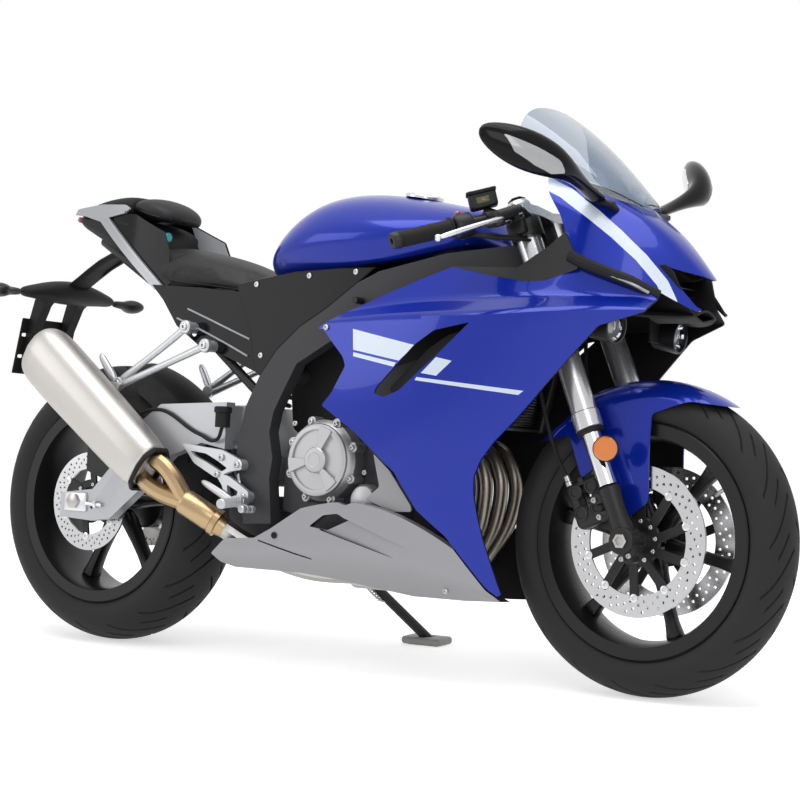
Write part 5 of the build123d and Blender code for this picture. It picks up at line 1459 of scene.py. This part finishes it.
def holder_mesh():
    # Arm down from the tail, a wing across it and two legs to the blank carrier plate
    rows = []
    for x, wide, low, high in ((-640, 40, 856, 878), (-700, 42, 880, 900), (-780, 40, 846, 876),
                               (-850, 38, 798, 828), (-890, 38, 780, 812)):
        rows.append([(x - 6, -wide, low), (x + 6, -wide, high), (x + 6, wide, high), (x - 6, wide, low)])
    arm = smoothed(cage(rows, closed=True, caps=True), 1)
    slot = [(-690, 872), (-720, 882), (-790, 848), (-836, 812), (-820, 808), (-770, 838)]
    arm = cut(arm, prism(slot, -20, 20, corner=5))
    stations = [((-897, -150, 784), 34, 22), ((-896, -110, 788), 58, 30), ((-894, -60, 792), 82, 48),
                ((-892, 0, 794), 92, 56), ((-894, 60, 792), 82, 48), ((-896, 110, 788), 58, 30),
                ((-897, 150, 784), 34, 22)]
    wing = limb(stations)
    leg = [(-872, 782), (-908, 800), (-930, 792), (-958, 705), (-978, 602), (-967, 597), (-940, 690),
           (-905, 762)]
    legs = [prism(leg, near, near + 26, corner=6) for near in (-66, 40)]
    plate = block((5, 176, 132), (-964, 0, 664), (0, 12, 0), corner=2.4)
    for y, z in ((-73, 690), (73, 690), (-73, 640), (73, 640)):
        plate = cut(plate, block((30, 20, 8), (-964, y, z), corner=3.5))
    return joined(arm, wing, plate, *legs)


def indicator_mesh():
    stations = [((-895, -150, 783), 22, 18), ((-895, -190, 782), 20, 16), ((-895, -206, 781), 48, 30),
                ((-895, -226, 781), 58, 34), ((-895, -249, 781), 40, 18)]
    return limb(stations)


def make_tail():
    piece("tail_body", tail_core_mesh(), MATTE_BLACK, "chassis", ["tail_core"])
    piece("tail_blades", mirrored(tail_fin_mesh()), TAIL_SILVER, "chassis", ["tail_fins"], edge=0.0008)
    side = [(-700, 955), (-634, 962), (-600, 958), (-549, 934), (-506, 915), (-490, 880), (-478, 802),
            (-500, 790), (-560, 842)]
    panel = cut(shell(tail_skin(-3), 3.0), prism(side, -300, 0, corner=4), "INTERSECT")
    piece("tail_side_panels", mirrored(panel), GLOSS_BLACK, "chassis", edge=0.0006)
    facing = [(x - 2, z - 2) for x, z in side[2:7]] + [(-560, 850)]
    liner = cut(shell(tail_skin(-6.5), 2.0), prism(facing, -300, 0, corner=3), "INTERSECT")
    piece("tail_liners", mirrored(liner), LINER_GREY, "chassis")
    lock = turned([(0, 11), (5, 11), (7, 9), (7, 0.01)], (-560, -36, 912), (-548, -36, 912), 28)
    piece("seat_lock", lock, TEAL, "chassis")
    lamp = block((12, 54, 14), (-845, 0, 963), corner=5, segments=3)
    piece("tail_lens", lamp, RED_LENS, "chassis", ["tail_lamp"])
    spots = [turned([(0, 6), (3, 5), (4, 0.01)], (-850, y, 963), (-855, y, 963), 16)
             for y in (-18, -6, 6, 18)]
    piece("tail_diodes", joined(*spots), RED_LENS, "chassis")
    piece("plate_hanger", holder_mesh(), MATTE_BLACK, "chassis", ["plate_holder"], edge=0.0008)
    piece("rear_blinkers", mirrored(indicator_mesh()), SATIN_BLACK, "chassis", ["rear_indicators"])
    lens = limb([((-895, -208, 781), 46, 28), ((-895, -226, 781), 61, 32), ((-895, -246, 781), 44, 18)])
    lens = cut(lens, block((60, 60, 40), (-943, -226, 781), corner=2), "INTERSECT")
    piece("blinker_lenses", mirrored(lens), AMBER, "chassis")
    bolts = [bolt((-968, y, 700), (-1, 0, 0.2), 5, 4) for y in (-40, 40)]
    piece("plate_bolts", joined(*bolts), STEEL, "chassis")


# Nose: lamps, duct, mirrors, instruments and the black panels that close it
SLIT = [(584, -176, 829), (612, -174, 815), (640, -170, 804), (672, -162, 792), (701, -152, 781),
        (728, -132, 765), (744, -116, 756)]
MIRROR_LIFT = math.radians(7)


def mirror_mesh():
    # Stalk and head in one sweep, right side
    return limb([((602, -106, 944), 42, 20), ((604, -140, 951), 30, 17), ((612, -205, 968), 28, 24),
                 ((618, -256, 982), 38, 42), ((608, -290, 993), 46, 66), ((574, -334, 1009), 50, 80),
                 ((540, -376, 1026), 38, 62), ((517, -407, 1040), 12, 24)])


def mirror_facing(outline, near, far):
    # The layer of a slightly swollen mirror head that lies inside a front-view outline of (y, z)
    head = mirror_mesh()
    for vert in head.verts:
        vert.co += vert.normal * 0.8
    window = prism_ahead(outline, near, far, corner=4)
    for vert in window.verts:
        vert.co.x += 618 + (vert.co.y + 276) * 0.773
    return cut(head, window, "INTERSECT")


def mirror_pair(mesh):
    # The left head is set a little higher than the right one, and its arm is as far out again
    left = flipped(mesh.copy())
    root = Matrix.Translation((604, 118, 946))
    lift = root @ Matrix.Rotation(MIRROR_LIFT, 4, "X") @ Matrix.Scale(1.06, 4) @ root.inverted()
    bmesh.ops.transform(left, matrix=lift, verts=left.verts)
    return joined(mesh, left)


def make_mirrors():
    piece("mirror_heads", mirror_pair(mirror_mesh()), GLOSS_BLACK, "chassis", ["mirrors"])
    lens = mirror_facing([(-278, 970), (-296, 991), (-338, 1012), (-384, 1032), (-368, 1000), (-334, 978),
                          (-302, 966)], 4, 90)
    piece("mirror_blinkers", mirror_pair(lens), LENS, "chassis")
    glass = mirror_facing([(-290, 966), (-286, 1008), (-330, 1036), (-388, 1046), (-394, 1030), (-350, 986)],
                          -90, -8)
    piece("mirror_glass", mirror_pair(glass), MIRROR_GLASS, "chassis")
    feet = block((66, 34, 12), (604, -100, 938), (-24, 14, 0), corner=4)
    piece("mirror_feet", mirrored(feet), SATIN_BLACK, "chassis")


def make_lamps():
    lamp = Vector((612, -123, 705))
    ahead = lamp + Vector((52, -4, -6))
    cup = turned([(0, 28), (46, 33), (52, 33), (52, 29), (18, 24), (18, 0.01)], lamp, ahead, 40)
    bowl = turned([(19, 23), (46, 28), (46, 27), (21, 19), (21, 0.01)], lamp, ahead, 40)
    eye = turned([(21, 18), (32, 18), (40, 13), (44, 0.01)], lamp, ahead, 40)
    piece("lamp_cups", mirrored(cup), SATIN_BLACK, "chassis", ["headlamps"])
    piece("lamp_bowls", mirrored(bowl), CHROME, "chassis")
    piece("lamp_backs", mirrored(block((6, 104, 62), (628, -116, 716), corner=2.5)), MATTE_BLACK, "chassis")
    piece("lamp_eyes", mirrored(eye), LENS, "chassis")
    slit_back = hose([Vector(spot) + Vector((-6, 9, 3)) for spot in SLIT], 12)
    slit_bar = hose([Vector(spot) + Vector((2, 3, -2)) for spot in SLIT[2:-1]], 3.2)
    piece("light_slits", mirrored(slit_back), MATTE_BLACK, "chassis")
    piece("light_bars", mirrored(slit_bar), LENS, "chassis")


def make_mouth():
    inner = [(y * 0.98, 760 + (z - 760) * 0.98) for y, z in DUCT]
    duct = cut(prism_ahead([(y * 1.04, 770 + (z - 770) * 1.04) for y, z in DUCT], 680, 782, corner=4),
               prism_ahead(inner, 692, 900, corner=4))
    ahead = [(666, 900), (686, 862), (752, 808), (782, 730), (772, 700), (900, 700), (900, 900)]
    duct = cut(duct, prism(ahead, -200, 200))
    piece("nose_mouth", duct, MATTE_BLACK, "chassis", ["nose_duct"], edge=0.001)
    bars = [block((4, 96, 3), (730, 0, z), corner=1) for z in (752, 768, 784)]
    piece("mouth_bars", joined(*bars), SATIN_BLACK, "chassis")
    rows = []
    for x, half, z in ((614, 168, 742), (660, 150, 728), (706, 124, 722), (750, 84, 722), (786, 44, 726)):
        rows.append([(x, y * half, z + 16 * (1 - y * y)) for y in (-1, -0.6, -0.2, 0.2, 0.6, 1)])
    piece("nose_floor", shell(smoothed(cage(rows), 1), 4.0), MATTE_BLACK, "chassis")


def make_inner_panels():
    table = ((270, 146, 128), (371, 159, 142), (457, 166, 150), (525, 170, 160), (610, 174, 166))
    skin = cage([[(x, -low, 770), (x, -high, 890)] for x, low, high in table])
    outline = [(283, 820), (457, 812), (525, 850), (563, 878), (591, 832), (599, 806), (513, 779),
               (371, 792)]
    panel = cut(shell(skin, 4.0), prism(outline, -300, 0, corner=3), "INTERSECT")
    piece("inner_panels", mirrored(panel), SATIN_BLACK, "chassis", edge=0.0008)


def make_dials():
    dial = Vector((528, 0, 962))
    turn = (0, -38, 0)
    tilt = Matrix.Rotation(math.radians(turn[1]), 3, "Y")
    piece("dial_case", block((24, 148, 74), dial, turn, corner=7, segments=3), MATTE_BLACK, "chassis",
          ["instrument_panel"])
    piece("dial_screen", block((3, 124, 52), dial + tilt @ Vector((-12, 0, 2)), turn, corner=1.4),
          GLOSS_BLACK, "chassis")
    buttons = [turned([(0, 5), (3, 5), (4, 3), (4, 0.01)], dial + tilt @ Vector((-12, y, -30)),
                      dial + tilt @ Vector((-16, y, -30)), 16) for y in (-30, 0, 30)]
    piece("dial_buttons", joined(*buttons), RUBBER, "chassis")


# Handlebars, right side first: u ahead of the bar, v above it, w outwards along it
BAR_IN = steer_point(37.5, -126, 678)
BAR_OUT = steer_point(-120.8, -352, 658)
BAR_LENGTH = (BAR_OUT - BAR_IN).length
GRIP_FROM = BAR_LENGTH - 128
GRIP_TO = BAR_LENGTH - 12


def bar_matrix():
    way = (BAR_OUT - BAR_IN).normalized()
    rise = (Vector((0, 0, 1)) - way * way.z).normalized()
    return Matrix.Translation(BAR_IN) @ Matrix((rise.cross(way), rise, way)).transposed().to_4x4()


def in_bar(mesh):
    bmesh.ops.transform(mesh, matrix=bar_matrix(), verts=mesh.verts)
    return mesh


def grip_mesh():
    profile = [(0, 14), (0, 20), (3, 20.5), (5, 17)]
    rings = 22
    length = GRIP_TO - GRIP_FROM
    for ring in range(rings):
        start = 8 + (length - 16) * ring / rings
        profile += [(start, 16.4), (start + 3, 16.4), (start + 3.6, 15.8), (start + 4.2, 15.8)]
    profile += [(length - 6, 16.5), (length - 3, 18), (length, 17), (length, 12)]
    return turned(profile, (0, 0, GRIP_FROM), (0, 0, GRIP_TO), 36)


def lever_mesh():
    # A flat blade that sweeps out from its pivot and ends in a ball
    blade = limb([((38, -5, 52), 15, 13), ((44, -5, 74), 16, 12), ((56, -6, 104), 13, 11),
                  ((60, -8, 140), 10, 11), ((60, -11, 176), 9, 11), ((56, -13, 206), 8, 10)], (0, 1, 0))
    ball = turned([(0, 4), (1.5, 6.6), (6, 8), (10.5, 6.6), (12.5, 3), (13, 0.01)], (56, -13, 200),
                  (55, -14, 214), 20)
    return joined(blade, ball)


def make_bars():
    collar = turned([(0, 32), (2, 33), (37, 33), (39, 32)], on_tube(624), on_tube(663), 48)
    lug = block((40, 20, 30), (30, -138, 643), corner=5)
    arm = limb([(steer_point(26, -130, 645), 24, 26), (steer_point(30, -132, 662), 22, 24),
                (BAR_IN, 24, 24)], (1, 0, 0))
    bar = pin(BAR_IN + (BAR_IN - BAR_OUT).normalized() * 8, BAR_IN.lerp(BAR_OUT, GRIP_FROM / BAR_LENGTH), 11)
    piece("clip_on_bars", mirrored(joined(collar, in_fork(lug), arm, bar)), SATIN_BLACK, "steering",
          ["handlebars"], edge=0.0008)
    weight = in_bar(turned([(0, 12), (1, 16), (3, 17), (17, 15.5), (19, 14), (19, 6), (14, 5), (14, 0.01)],
                           (0, 0, GRIP_TO - 7), (0, 0, BAR_LENGTH), 32))
    piece("bar_weights", mirrored(weight), SATIN_BLACK, "steering")
    piece("grip_sleeves", mirrored(in_bar(grip_mesh())), RUBBER, "steering", ["grips"])
    nut = turned([(0, 19), (8, 19), (10, 16), (10, 8), (6, 7), (6, 0.01)], steer_point(0, 0, 698),
                 steer_point(0, 0, 709), 6)
    piece("stem_nut", nut, MACHINED, "steering", edge=0.0006)


def make_hand_controls():
    box = limb([((0, -2, 104), 40, 44), ((0, -2, 110), 46, 50), ((0, -2, 134), 46, 50),
                ((0, -2, 147), 38, 40)], (0, 1, 0))
    piece("switch_boxes", mirrored(in_bar(box)), SATIN_BLACK, "steering", ["hand_controls"])
    perch = [block((46, 30, 22), (20, -4, 62), corner=5), pin((38, 6, 62), (38, -16, 62), 7),
             turned([(0, 15), (3, 17), (21, 17), (24, 15)], (0, 0, 50), (0, 0, 74), 32)]
    piece("lever_perches", mirrored(in_bar(joined(*perch))), SATIN_BLACK, "steering", edge=0.0008)
    piece("lever_blades", mirrored(in_bar(lever_mesh())), MACHINED, "steering")
    cylinder = turned([(0, 9), (2, 11), (46, 11), (50, 8), (58, 8), (60, 6)], (36, 2, 66), (28, 6, 6), 28)
    piece("master_cylinder", in_bar(cylinder), SATIN_BLACK, "steering")
    button = in_bar(turned([(0, 6), (4, 6), (6, 4), (6, 0.01)], (-2, 22, 128), (-2, 28, 128), 20))
    piece("stop_button", button, RED_LENS, "steering")
    keys = [turned([(0, 5), (4, 5), (5, 4), (5, 0.01)], (-22, 8, w), (-27, 9, w), 16) for w in (118, 134)]
    piece("switch_keys", mirrored(in_bar(joined(*keys))), RED_LENS, "steering")


def make_fluid_cup():
    cup_at = BAR_IN + Vector((-50, -52, 17))
    cup_turn = (0, -16, 34)
    swing = Matrix.Rotation(math.radians(cup_turn[2]), 3, "Z")
    tilt = swing @ Matrix.Rotation(math.radians(cup_turn[1]), 3, "Y")
    piece("fluid_cup", block((56, 42, 32), cup_at, cup_turn, corner=6, segments=3), SATIN_BLACK, "steering")
    piece("fluid_window", block((30, 43.4, 16), cup_at, cup_turn, corner=4), FLUID, "steering")
    lid = block((60, 46, 7), cup_at + tilt @ Vector((0, 0, 17)), cup_turn, corner=2.5)
    piece("fluid_lid", lid, MATTE_BLACK, "steering")
    screws = [bolt(cup_at + tilt @ Vector((x, y, 20.2)), tilt @ Vector((0, 0, 1)), 3.2, 2)
              for x, y in ((-21, -15), (21, 15))]
    piece("fluid_screws", joined(*screws), STEEL, "steering")
    cylinder_end = bar_matrix() @ Vector((24, 6, 40))
    stem = hose([cup_at + Vector((2, 2, -16)), BAR_IN + Vector((-14, -30, -8)), cylinder_end], 6)
    piece("cup_stem", stem, RUBBER, "steering")


def make_control_lines():
    # Lines into the lower clamp, and hoses from it to the calipers
    bar = bar_matrix()
    brake = hose([bar @ Vector((28, 4, 4)), steer_point(50, -84, 640), steer_point(48, -70, 560),
                  steer_point(46, -66, 470)], 4.5)
    cable = hose([bar @ Vector((-6, -20, 112)), bar @ Vector((20, -34, 70)), steer_point(50, -86, 600),
                  steer_point(40, -66, 480)], 3.5)
    twin = hose([bar @ Vector((4, -22, 116)), bar @ Vector((26, -36, 80)), steer_point(54, -82, 590),
                 steer_point(42, -58, 480)], 3.5)
    piece("control_lines", mirrored(joined(brake, cable, twin)), RUBBER, "steering")
    tail = hose([steer_point(-14, -98, 476), steer_point(-42, -97, 400), steer_point(-58, -94, 300),
                 steer_point(-64, -90, 215), steer_point(-60, -86, 160)], 4)
    piece("brake_hoses", mirrored(tail), RUBBER, "steering")
    union = turned([(0, 4.5), (2, 6.5), (12, 6.5), (14, 8), (22, 8)], steer_point(-60, -86, 166),
                   steer_point(-59, -85, 144), 12)
    piece("hose_unions", mirrored(union), STEEL, "steering")


# Footrests, hangers, covers and small fittings
def plate_with_window(outline, window, near, far):
    return cut(prism(outline, near, far, corner=6), prism(window, near - 20, far + 20, corner=4))


def make_footrests():
    outline = [(-365, 449), (-252, 438), (-200, 418), (-196, 398), (-228, 394), (-265, 378), (-329, 408)]
    window = [(-340, 434), (-296, 429), (-262, 414), (-236, 400), (-252, 392), (-292, 410), (-330, 424)]
    upper = plate_with_window(outline, window, -173, -163)
    outline = [(-272, 392), (-232, 384), (-208, 372), (-174, 352), (-176, 328), (-214, 318), (-240, 330),
               (-246, 362)]
    window = [(-234, 366), (-202, 352), (-210, 338), (-230, 342)]
    lower = plate_with_window(outline, window, -174, -164)
    fixings = [(-209, 408), (-188, 342)]
    bosses = [turned([(0, 12), (22, 12), (24, 10)], (x, -150.4, z), (x, -175, z), 28) for x, z in fixings]
    piece("rest_plates", mirrored(joined(upper, lower, *bosses)), REST_SILVER, "chassis",
          ["footrest_brackets"], edge=0.0012)
    screws = [bolt((x, -174, z), OUTWARD, 7, 5) for x, z in fixings + [(-252, 422), (-262, 386)]]
    piece("rest_bolts", mirrored(joined(*screws)), STEEL, "chassis")
    start, end = Vector((-188, -174, 334)), Vector((-173, -265, 326))
    rings = [(0, 8), (3, 12), (16, 12), (18, 9)]
    for ring in range(10):
        rings += [(20 + ring * 7, 10.5), (24.5 + ring * 7, 10.5), (25.5 + ring * 7, 9), (26.5 + ring * 7, 9)]
    rings += [(90, 10.5), (92, 9)]
    hinge = block((30, 26, 24), (-190, -182, 332), corner=6)
    piece("foot_pegs", mirrored(joined(turned(rings, start, end, 24), hinge)), REST_SILVER, "chassis",
          ["footrests"])
    pedal = limb([((-304, -178, 372), 9, 14), ((-250, -180, 350), 10, 17), ((-200, -182, 325), 10, 14),
                  ((-156, -184, 317), 9, 12)])
    toe = turned([(0, 6), (2, 8), (12, 8), (13, 7), (14, 8), (26, 8), (27, 7), (28, 8), (40, 8), (43, 6)],
                 (-152, -182, 317), (-152, -225, 317), 20)
    piece("foot_levers", mirrored(joined(pedal, toe)), REST_SILVER, "chassis", ["foot_controls"],
          edge=0.0006)


def make_hangers():
    upper = limb([((-389, -152, 700), 14, 20), ((-420, -152, 676), 10, 15), ((-540, -152, 602), 10, 15),
                  ((-574, -152, 580), 14, 22)])
    lower = limb([((-332, -152, 660), 14, 20), ((-370, -152, 645), 10, 15), ((-540, -152, 584), 10, 15),
                  ((-580, -152, 568), 14, 22)])
    knob = [turned([(0, 13), (2, 15), (12, 15), (14, 12)], (x, -144, z), (x, -158, z), 28)
            for x, z in ((-389, 700), (-332, 660), (-576, 575))]
    peg = limb([((-578, -158, 578), 20, 18), ((-600, -166, 610), 18, 16), ((-622, -168, 642), 16, 12)],
               (0, 1, 0))
    posts = [pin((x, -112, z), (x, -146, z), 12.5) for x, z in ((-389, 700), (-332, 660))]
    piece("pillion_struts", mirrored(joined(upper, lower, peg, *knob, *posts)), REST_SILVER, "chassis",
          ["pillion_hangers"], edge=0.0006)
    screws = [bolt((x, -157, z), OUTWARD, 8, 5) for x, z in ((-389, 700), (-332, 660), (-576, 575))]
    piece("strut_bolts", mirrored(joined(*screws)), STEEL, "chassis")
    outline = [(-556, 576), (-592, 580), (-612, 552), (-640, 520), (-610, 508), (-572, 542)]
    window = [(-592, 556), (-578, 556), (-596, 532), (-606, 534)]
    eye = plate_with_window(outline, window, -170, -160)
    piece("silencer_hanger", eye, REST_SILVER, "chassis", edge=0.001)


def make_covers():
    dressed("tank_side_covers", GLOSS_BLACK, "chassis", edge=0.003)
    dressed("seat_side_covers", GLOSS_BLACK, "chassis", edge=0.001)
    routes = [[(-440, -124, 722), (-380, -124.5, 700), (-300, -124.5, 668), (-236, -124, 640)],
              [(-410, -124, 742), (-350, -124.5, 720), (-270, -124.5, 690), (-232, -124, 676)]]
    trims = [hose(route, 2.2, sides=8) for route in routes]
    piece("cover_trims", mirrored(joined(*trims)), TAIL_SILVER, "chassis")
    places = [(-200, 790), (-60, 806), (-180, 640), (60, 812)]
    screws = [bolt((x, -148, z), OUTWARD, 6, 3) for x, z in places]
    piece("cover_screws", mirrored(joined(*screws)), STEEL, "chassis")


def make_fuel_lid():
    low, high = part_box("fuel_lid")
    middle = UPRIGHT @ ((low + high) / 2)
    rise = Vector((0.15, 0, 1)).normalized()
    foot = middle - rise * 4
    ring = turned([(0, 38), (1, 40), (6, 40), (8, 38), (8, 27), (5.5, 26), (5.5, 0.01)], foot, foot + rise,
                  56)
    flap = turned([(0, 24), (2, 24), (3, 22), (3, 0.01)], foot + rise * 5, foot + rise * 6, 48)
    catch = block((20, 9, 4), foot + rise * 8.4 + Vector((4, 0, 0)), (0, 8.5, 0), corner=1.6)
    piece("fuel_cap", joined(ring, flap, catch), MACHINED, "fuel_lid", ["fuel_lid"])
    side = Vector((0, 1, 0))
    front = side.cross(rise)
    bolts = []
    for number in range(7):
        angle = math.tau * number / 7
        swing = front * math.cos(angle) + side * math.sin(angle)
        bolts.append(bolt(foot + rise * 7.4 + swing * 33, rise, 3.2, 2))
    piece("fuel_cap_bolts", joined(*bolts), STEEL, "fuel_lid")


def make_stand_fittings():
    foot = Vector((-28, 300, 300 * math.tan(LEAN)))
    spring = []
    head = Vector((-125, 112, 232))
    way = (foot - head).normalized()
    side = way.cross(Vector((1, 0, 0))).normalized()
    front = way.cross(side)
    start = head + way * 40 + side * 20
    for step in range(121):
        angle = math.tau * step / 10
        spring.append(start + way * step * 0.75 + (side * math.cos(angle) + front * math.sin(angle)) * 4.6)
    piece("stand_spring", hose(spring, 1.5, sides=8), STEEL, "side_stand")
    hooks = hose([head + side * 20 + way * 8, start, start + way * 92, head + way * 148 + side * 10], 2.2,
                 sides=8)
    piece("stand_hooks", hooks, STEEL, "side_stand")
    level = Matrix.Translation(foot) @ Matrix.Rotation(LEAN, 4, "X")
    pad = block((104, 56, 17), (-4, 0, 9), corner=7, segments=4)
    bmesh.ops.transform(pad, matrix=level, verts=pad.verts)
    piece("stand_pad", pad, STAND_PAD, "side_stand")


make_seats()
make_tail()
make_mirrors()
make_lamps()
make_mouth()
make_inner_panels()
make_dials()
make_bars()
make_hand_controls()
make_fluid_cup()
make_control_lines()
make_footrests()
make_hangers()
make_covers()
make_fuel_lid()
make_stand_fittings()

# Camera at the photograph's viewing angle
CAMERA_AT = Vector((2.698, -3.596, 0.778))
CAMERA_TURN = math.radians(35.63)
CAMERA_DIP = math.radians(2.83)
CAMERA_ROLL = math.radians(-0.83)
CAMERA_LENS = 97.1
back = Vector((math.sin(CAMERA_TURN) * math.cos(CAMERA_DIP), -math.cos(CAMERA_TURN) * math.cos(CAMERA_DIP),
               math.sin(CAMERA_DIP)))
right = Vector((math.cos(CAMERA_TURN), math.sin(CAMERA_TURN), 0))
up = back.cross(right)
right, up = (right * math.cos(CAMERA_ROLL) + up * math.sin(CAMERA_ROLL),
             up * math.cos(CAMERA_ROLL) - right * math.sin(CAMERA_ROLL))
camera_data = bpy.data.cameras.new("camera")
camera_data.lens = CAMERA_LENS
camera_data.sensor_width = 36
camera = bpy.data.objects.new("camera", camera_data)
camera.matrix_world = (Matrix.Translation(CAMERA_AT + STANDING.translation)
                       @ Matrix((right, up, back)).transposed().to_4x4())
bpy.context.scene.collection.objects.link(camera)
bpy.context.scene.camera = camera


# Floor and light
def camera_sees(tree, other, seen):
    # Mixes two shaders: what lights the object, and what the camera, gloss and glass see
    path = tree.nodes.new("ShaderNodeLightPath")
    mask = math_node(tree, "ADD", path.outputs["Is Camera Ray"], path.outputs["Is Glossy Ray"], clamp=True)
    mask = math_node(tree, "ADD", mask, path.outputs["Is Transmission Ray"], clamp=True)
    mix = tree.nodes.new("ShaderNodeMixShader")
    tree.links.new(mask, mix.inputs[0])
    tree.links.new(other, mix.inputs[1])
    tree.links.new(seen, mix.inputs[2])
    return mix.outputs[0]


FLOOR_GLOW = 0.55


def make_floor():
    floor_mesh = bmesh.new()
    bmesh.ops.create_grid(floor_mesh, x_segments=1, y_segments=1, size=30)
    mesh = bpy.data.meshes.new("floor")
    floor_mesh.to_mesh(mesh)
    floor_mesh.free()
    floor = bpy.data.objects.new("floor", mesh)
    bpy.context.scene.collection.objects.link(floor)
    material, tree, shader, where = new_material("pale_floor")
    node = use_group(tree, MOTTLE, {"Vector": where}, Color=(0.93, 0.93, 0.93, 1), Drift=0.01, Roughness=0.7)
    tree.links.new(node.outputs["Color"], shader.inputs["Base Color"])
    tree.links.new(node.outputs["Roughness"], shader.inputs["Roughness"])
    glow = tree.nodes.new("ShaderNodeEmission")
    glow.inputs["Strength"].default_value = FLOOR_GLOW
    lift = tree.nodes.new("ShaderNodeAddShader")
    tree.links.new(shader.outputs[0], lift.inputs[0])
    tree.links.new(glow.outputs[0], lift.inputs[1])
    surface = camera_sees(tree, shader.outputs[0], lift.outputs[0])
    tree.links.new(surface, tree.nodes["Material Output"].inputs["Surface"])
    mesh.materials.append(material)


def make_world():
    world = bpy.data.worlds.new("studio")
    bpy.context.scene.world = world
    world.use_nodes = True
    tree = world.node_tree
    lit = tree.nodes["Background"]
    lit.inputs["Strength"].default_value = 0.40
    lit.inputs["Color"].default_value = (1, 1, 1, 1)
    seen = tree.nodes.new("ShaderNodeBackground")
    seen.inputs["Color"].default_value = (1, 1, 1, 1)
    seen.inputs["Strength"].default_value = 1.0
    tree.links.new(camera_sees(tree, lit.outputs[0], seen.outputs[0]),
                   tree.nodes["World Output"].inputs["Surface"])


def area_light(name, at, target, size, power):
    data = bpy.data.lights.new(name, "AREA")
    data.shape = "RECTANGLE"
    data.size, data.size_y = size
    data.energy = power
    light = bpy.data.objects.new(name, data)
    light.location = at
    light.rotation_euler = (Vector(target) - Vector(at)).to_track_quat("-Z", "Y").to_euler()
    bpy.context.scene.collection.objects.link(light)


make_floor()
make_world()
area_light("overhead", (0.3, -0.6, 3.6), (0, 0, 0.5), (3.6, 2.4), 85)
area_light("front_right", (3.2, -3.0, 2.2), (0.2, 0, 0.6), (2.0, 2.0), 34)
area_light("rear_right", (-3.0, -2.8, 1.8), (-0.3, 0, 0.6), (1.8, 2.0), 22)

bpy.context.scene.view_settings.view_transform = "Standard"
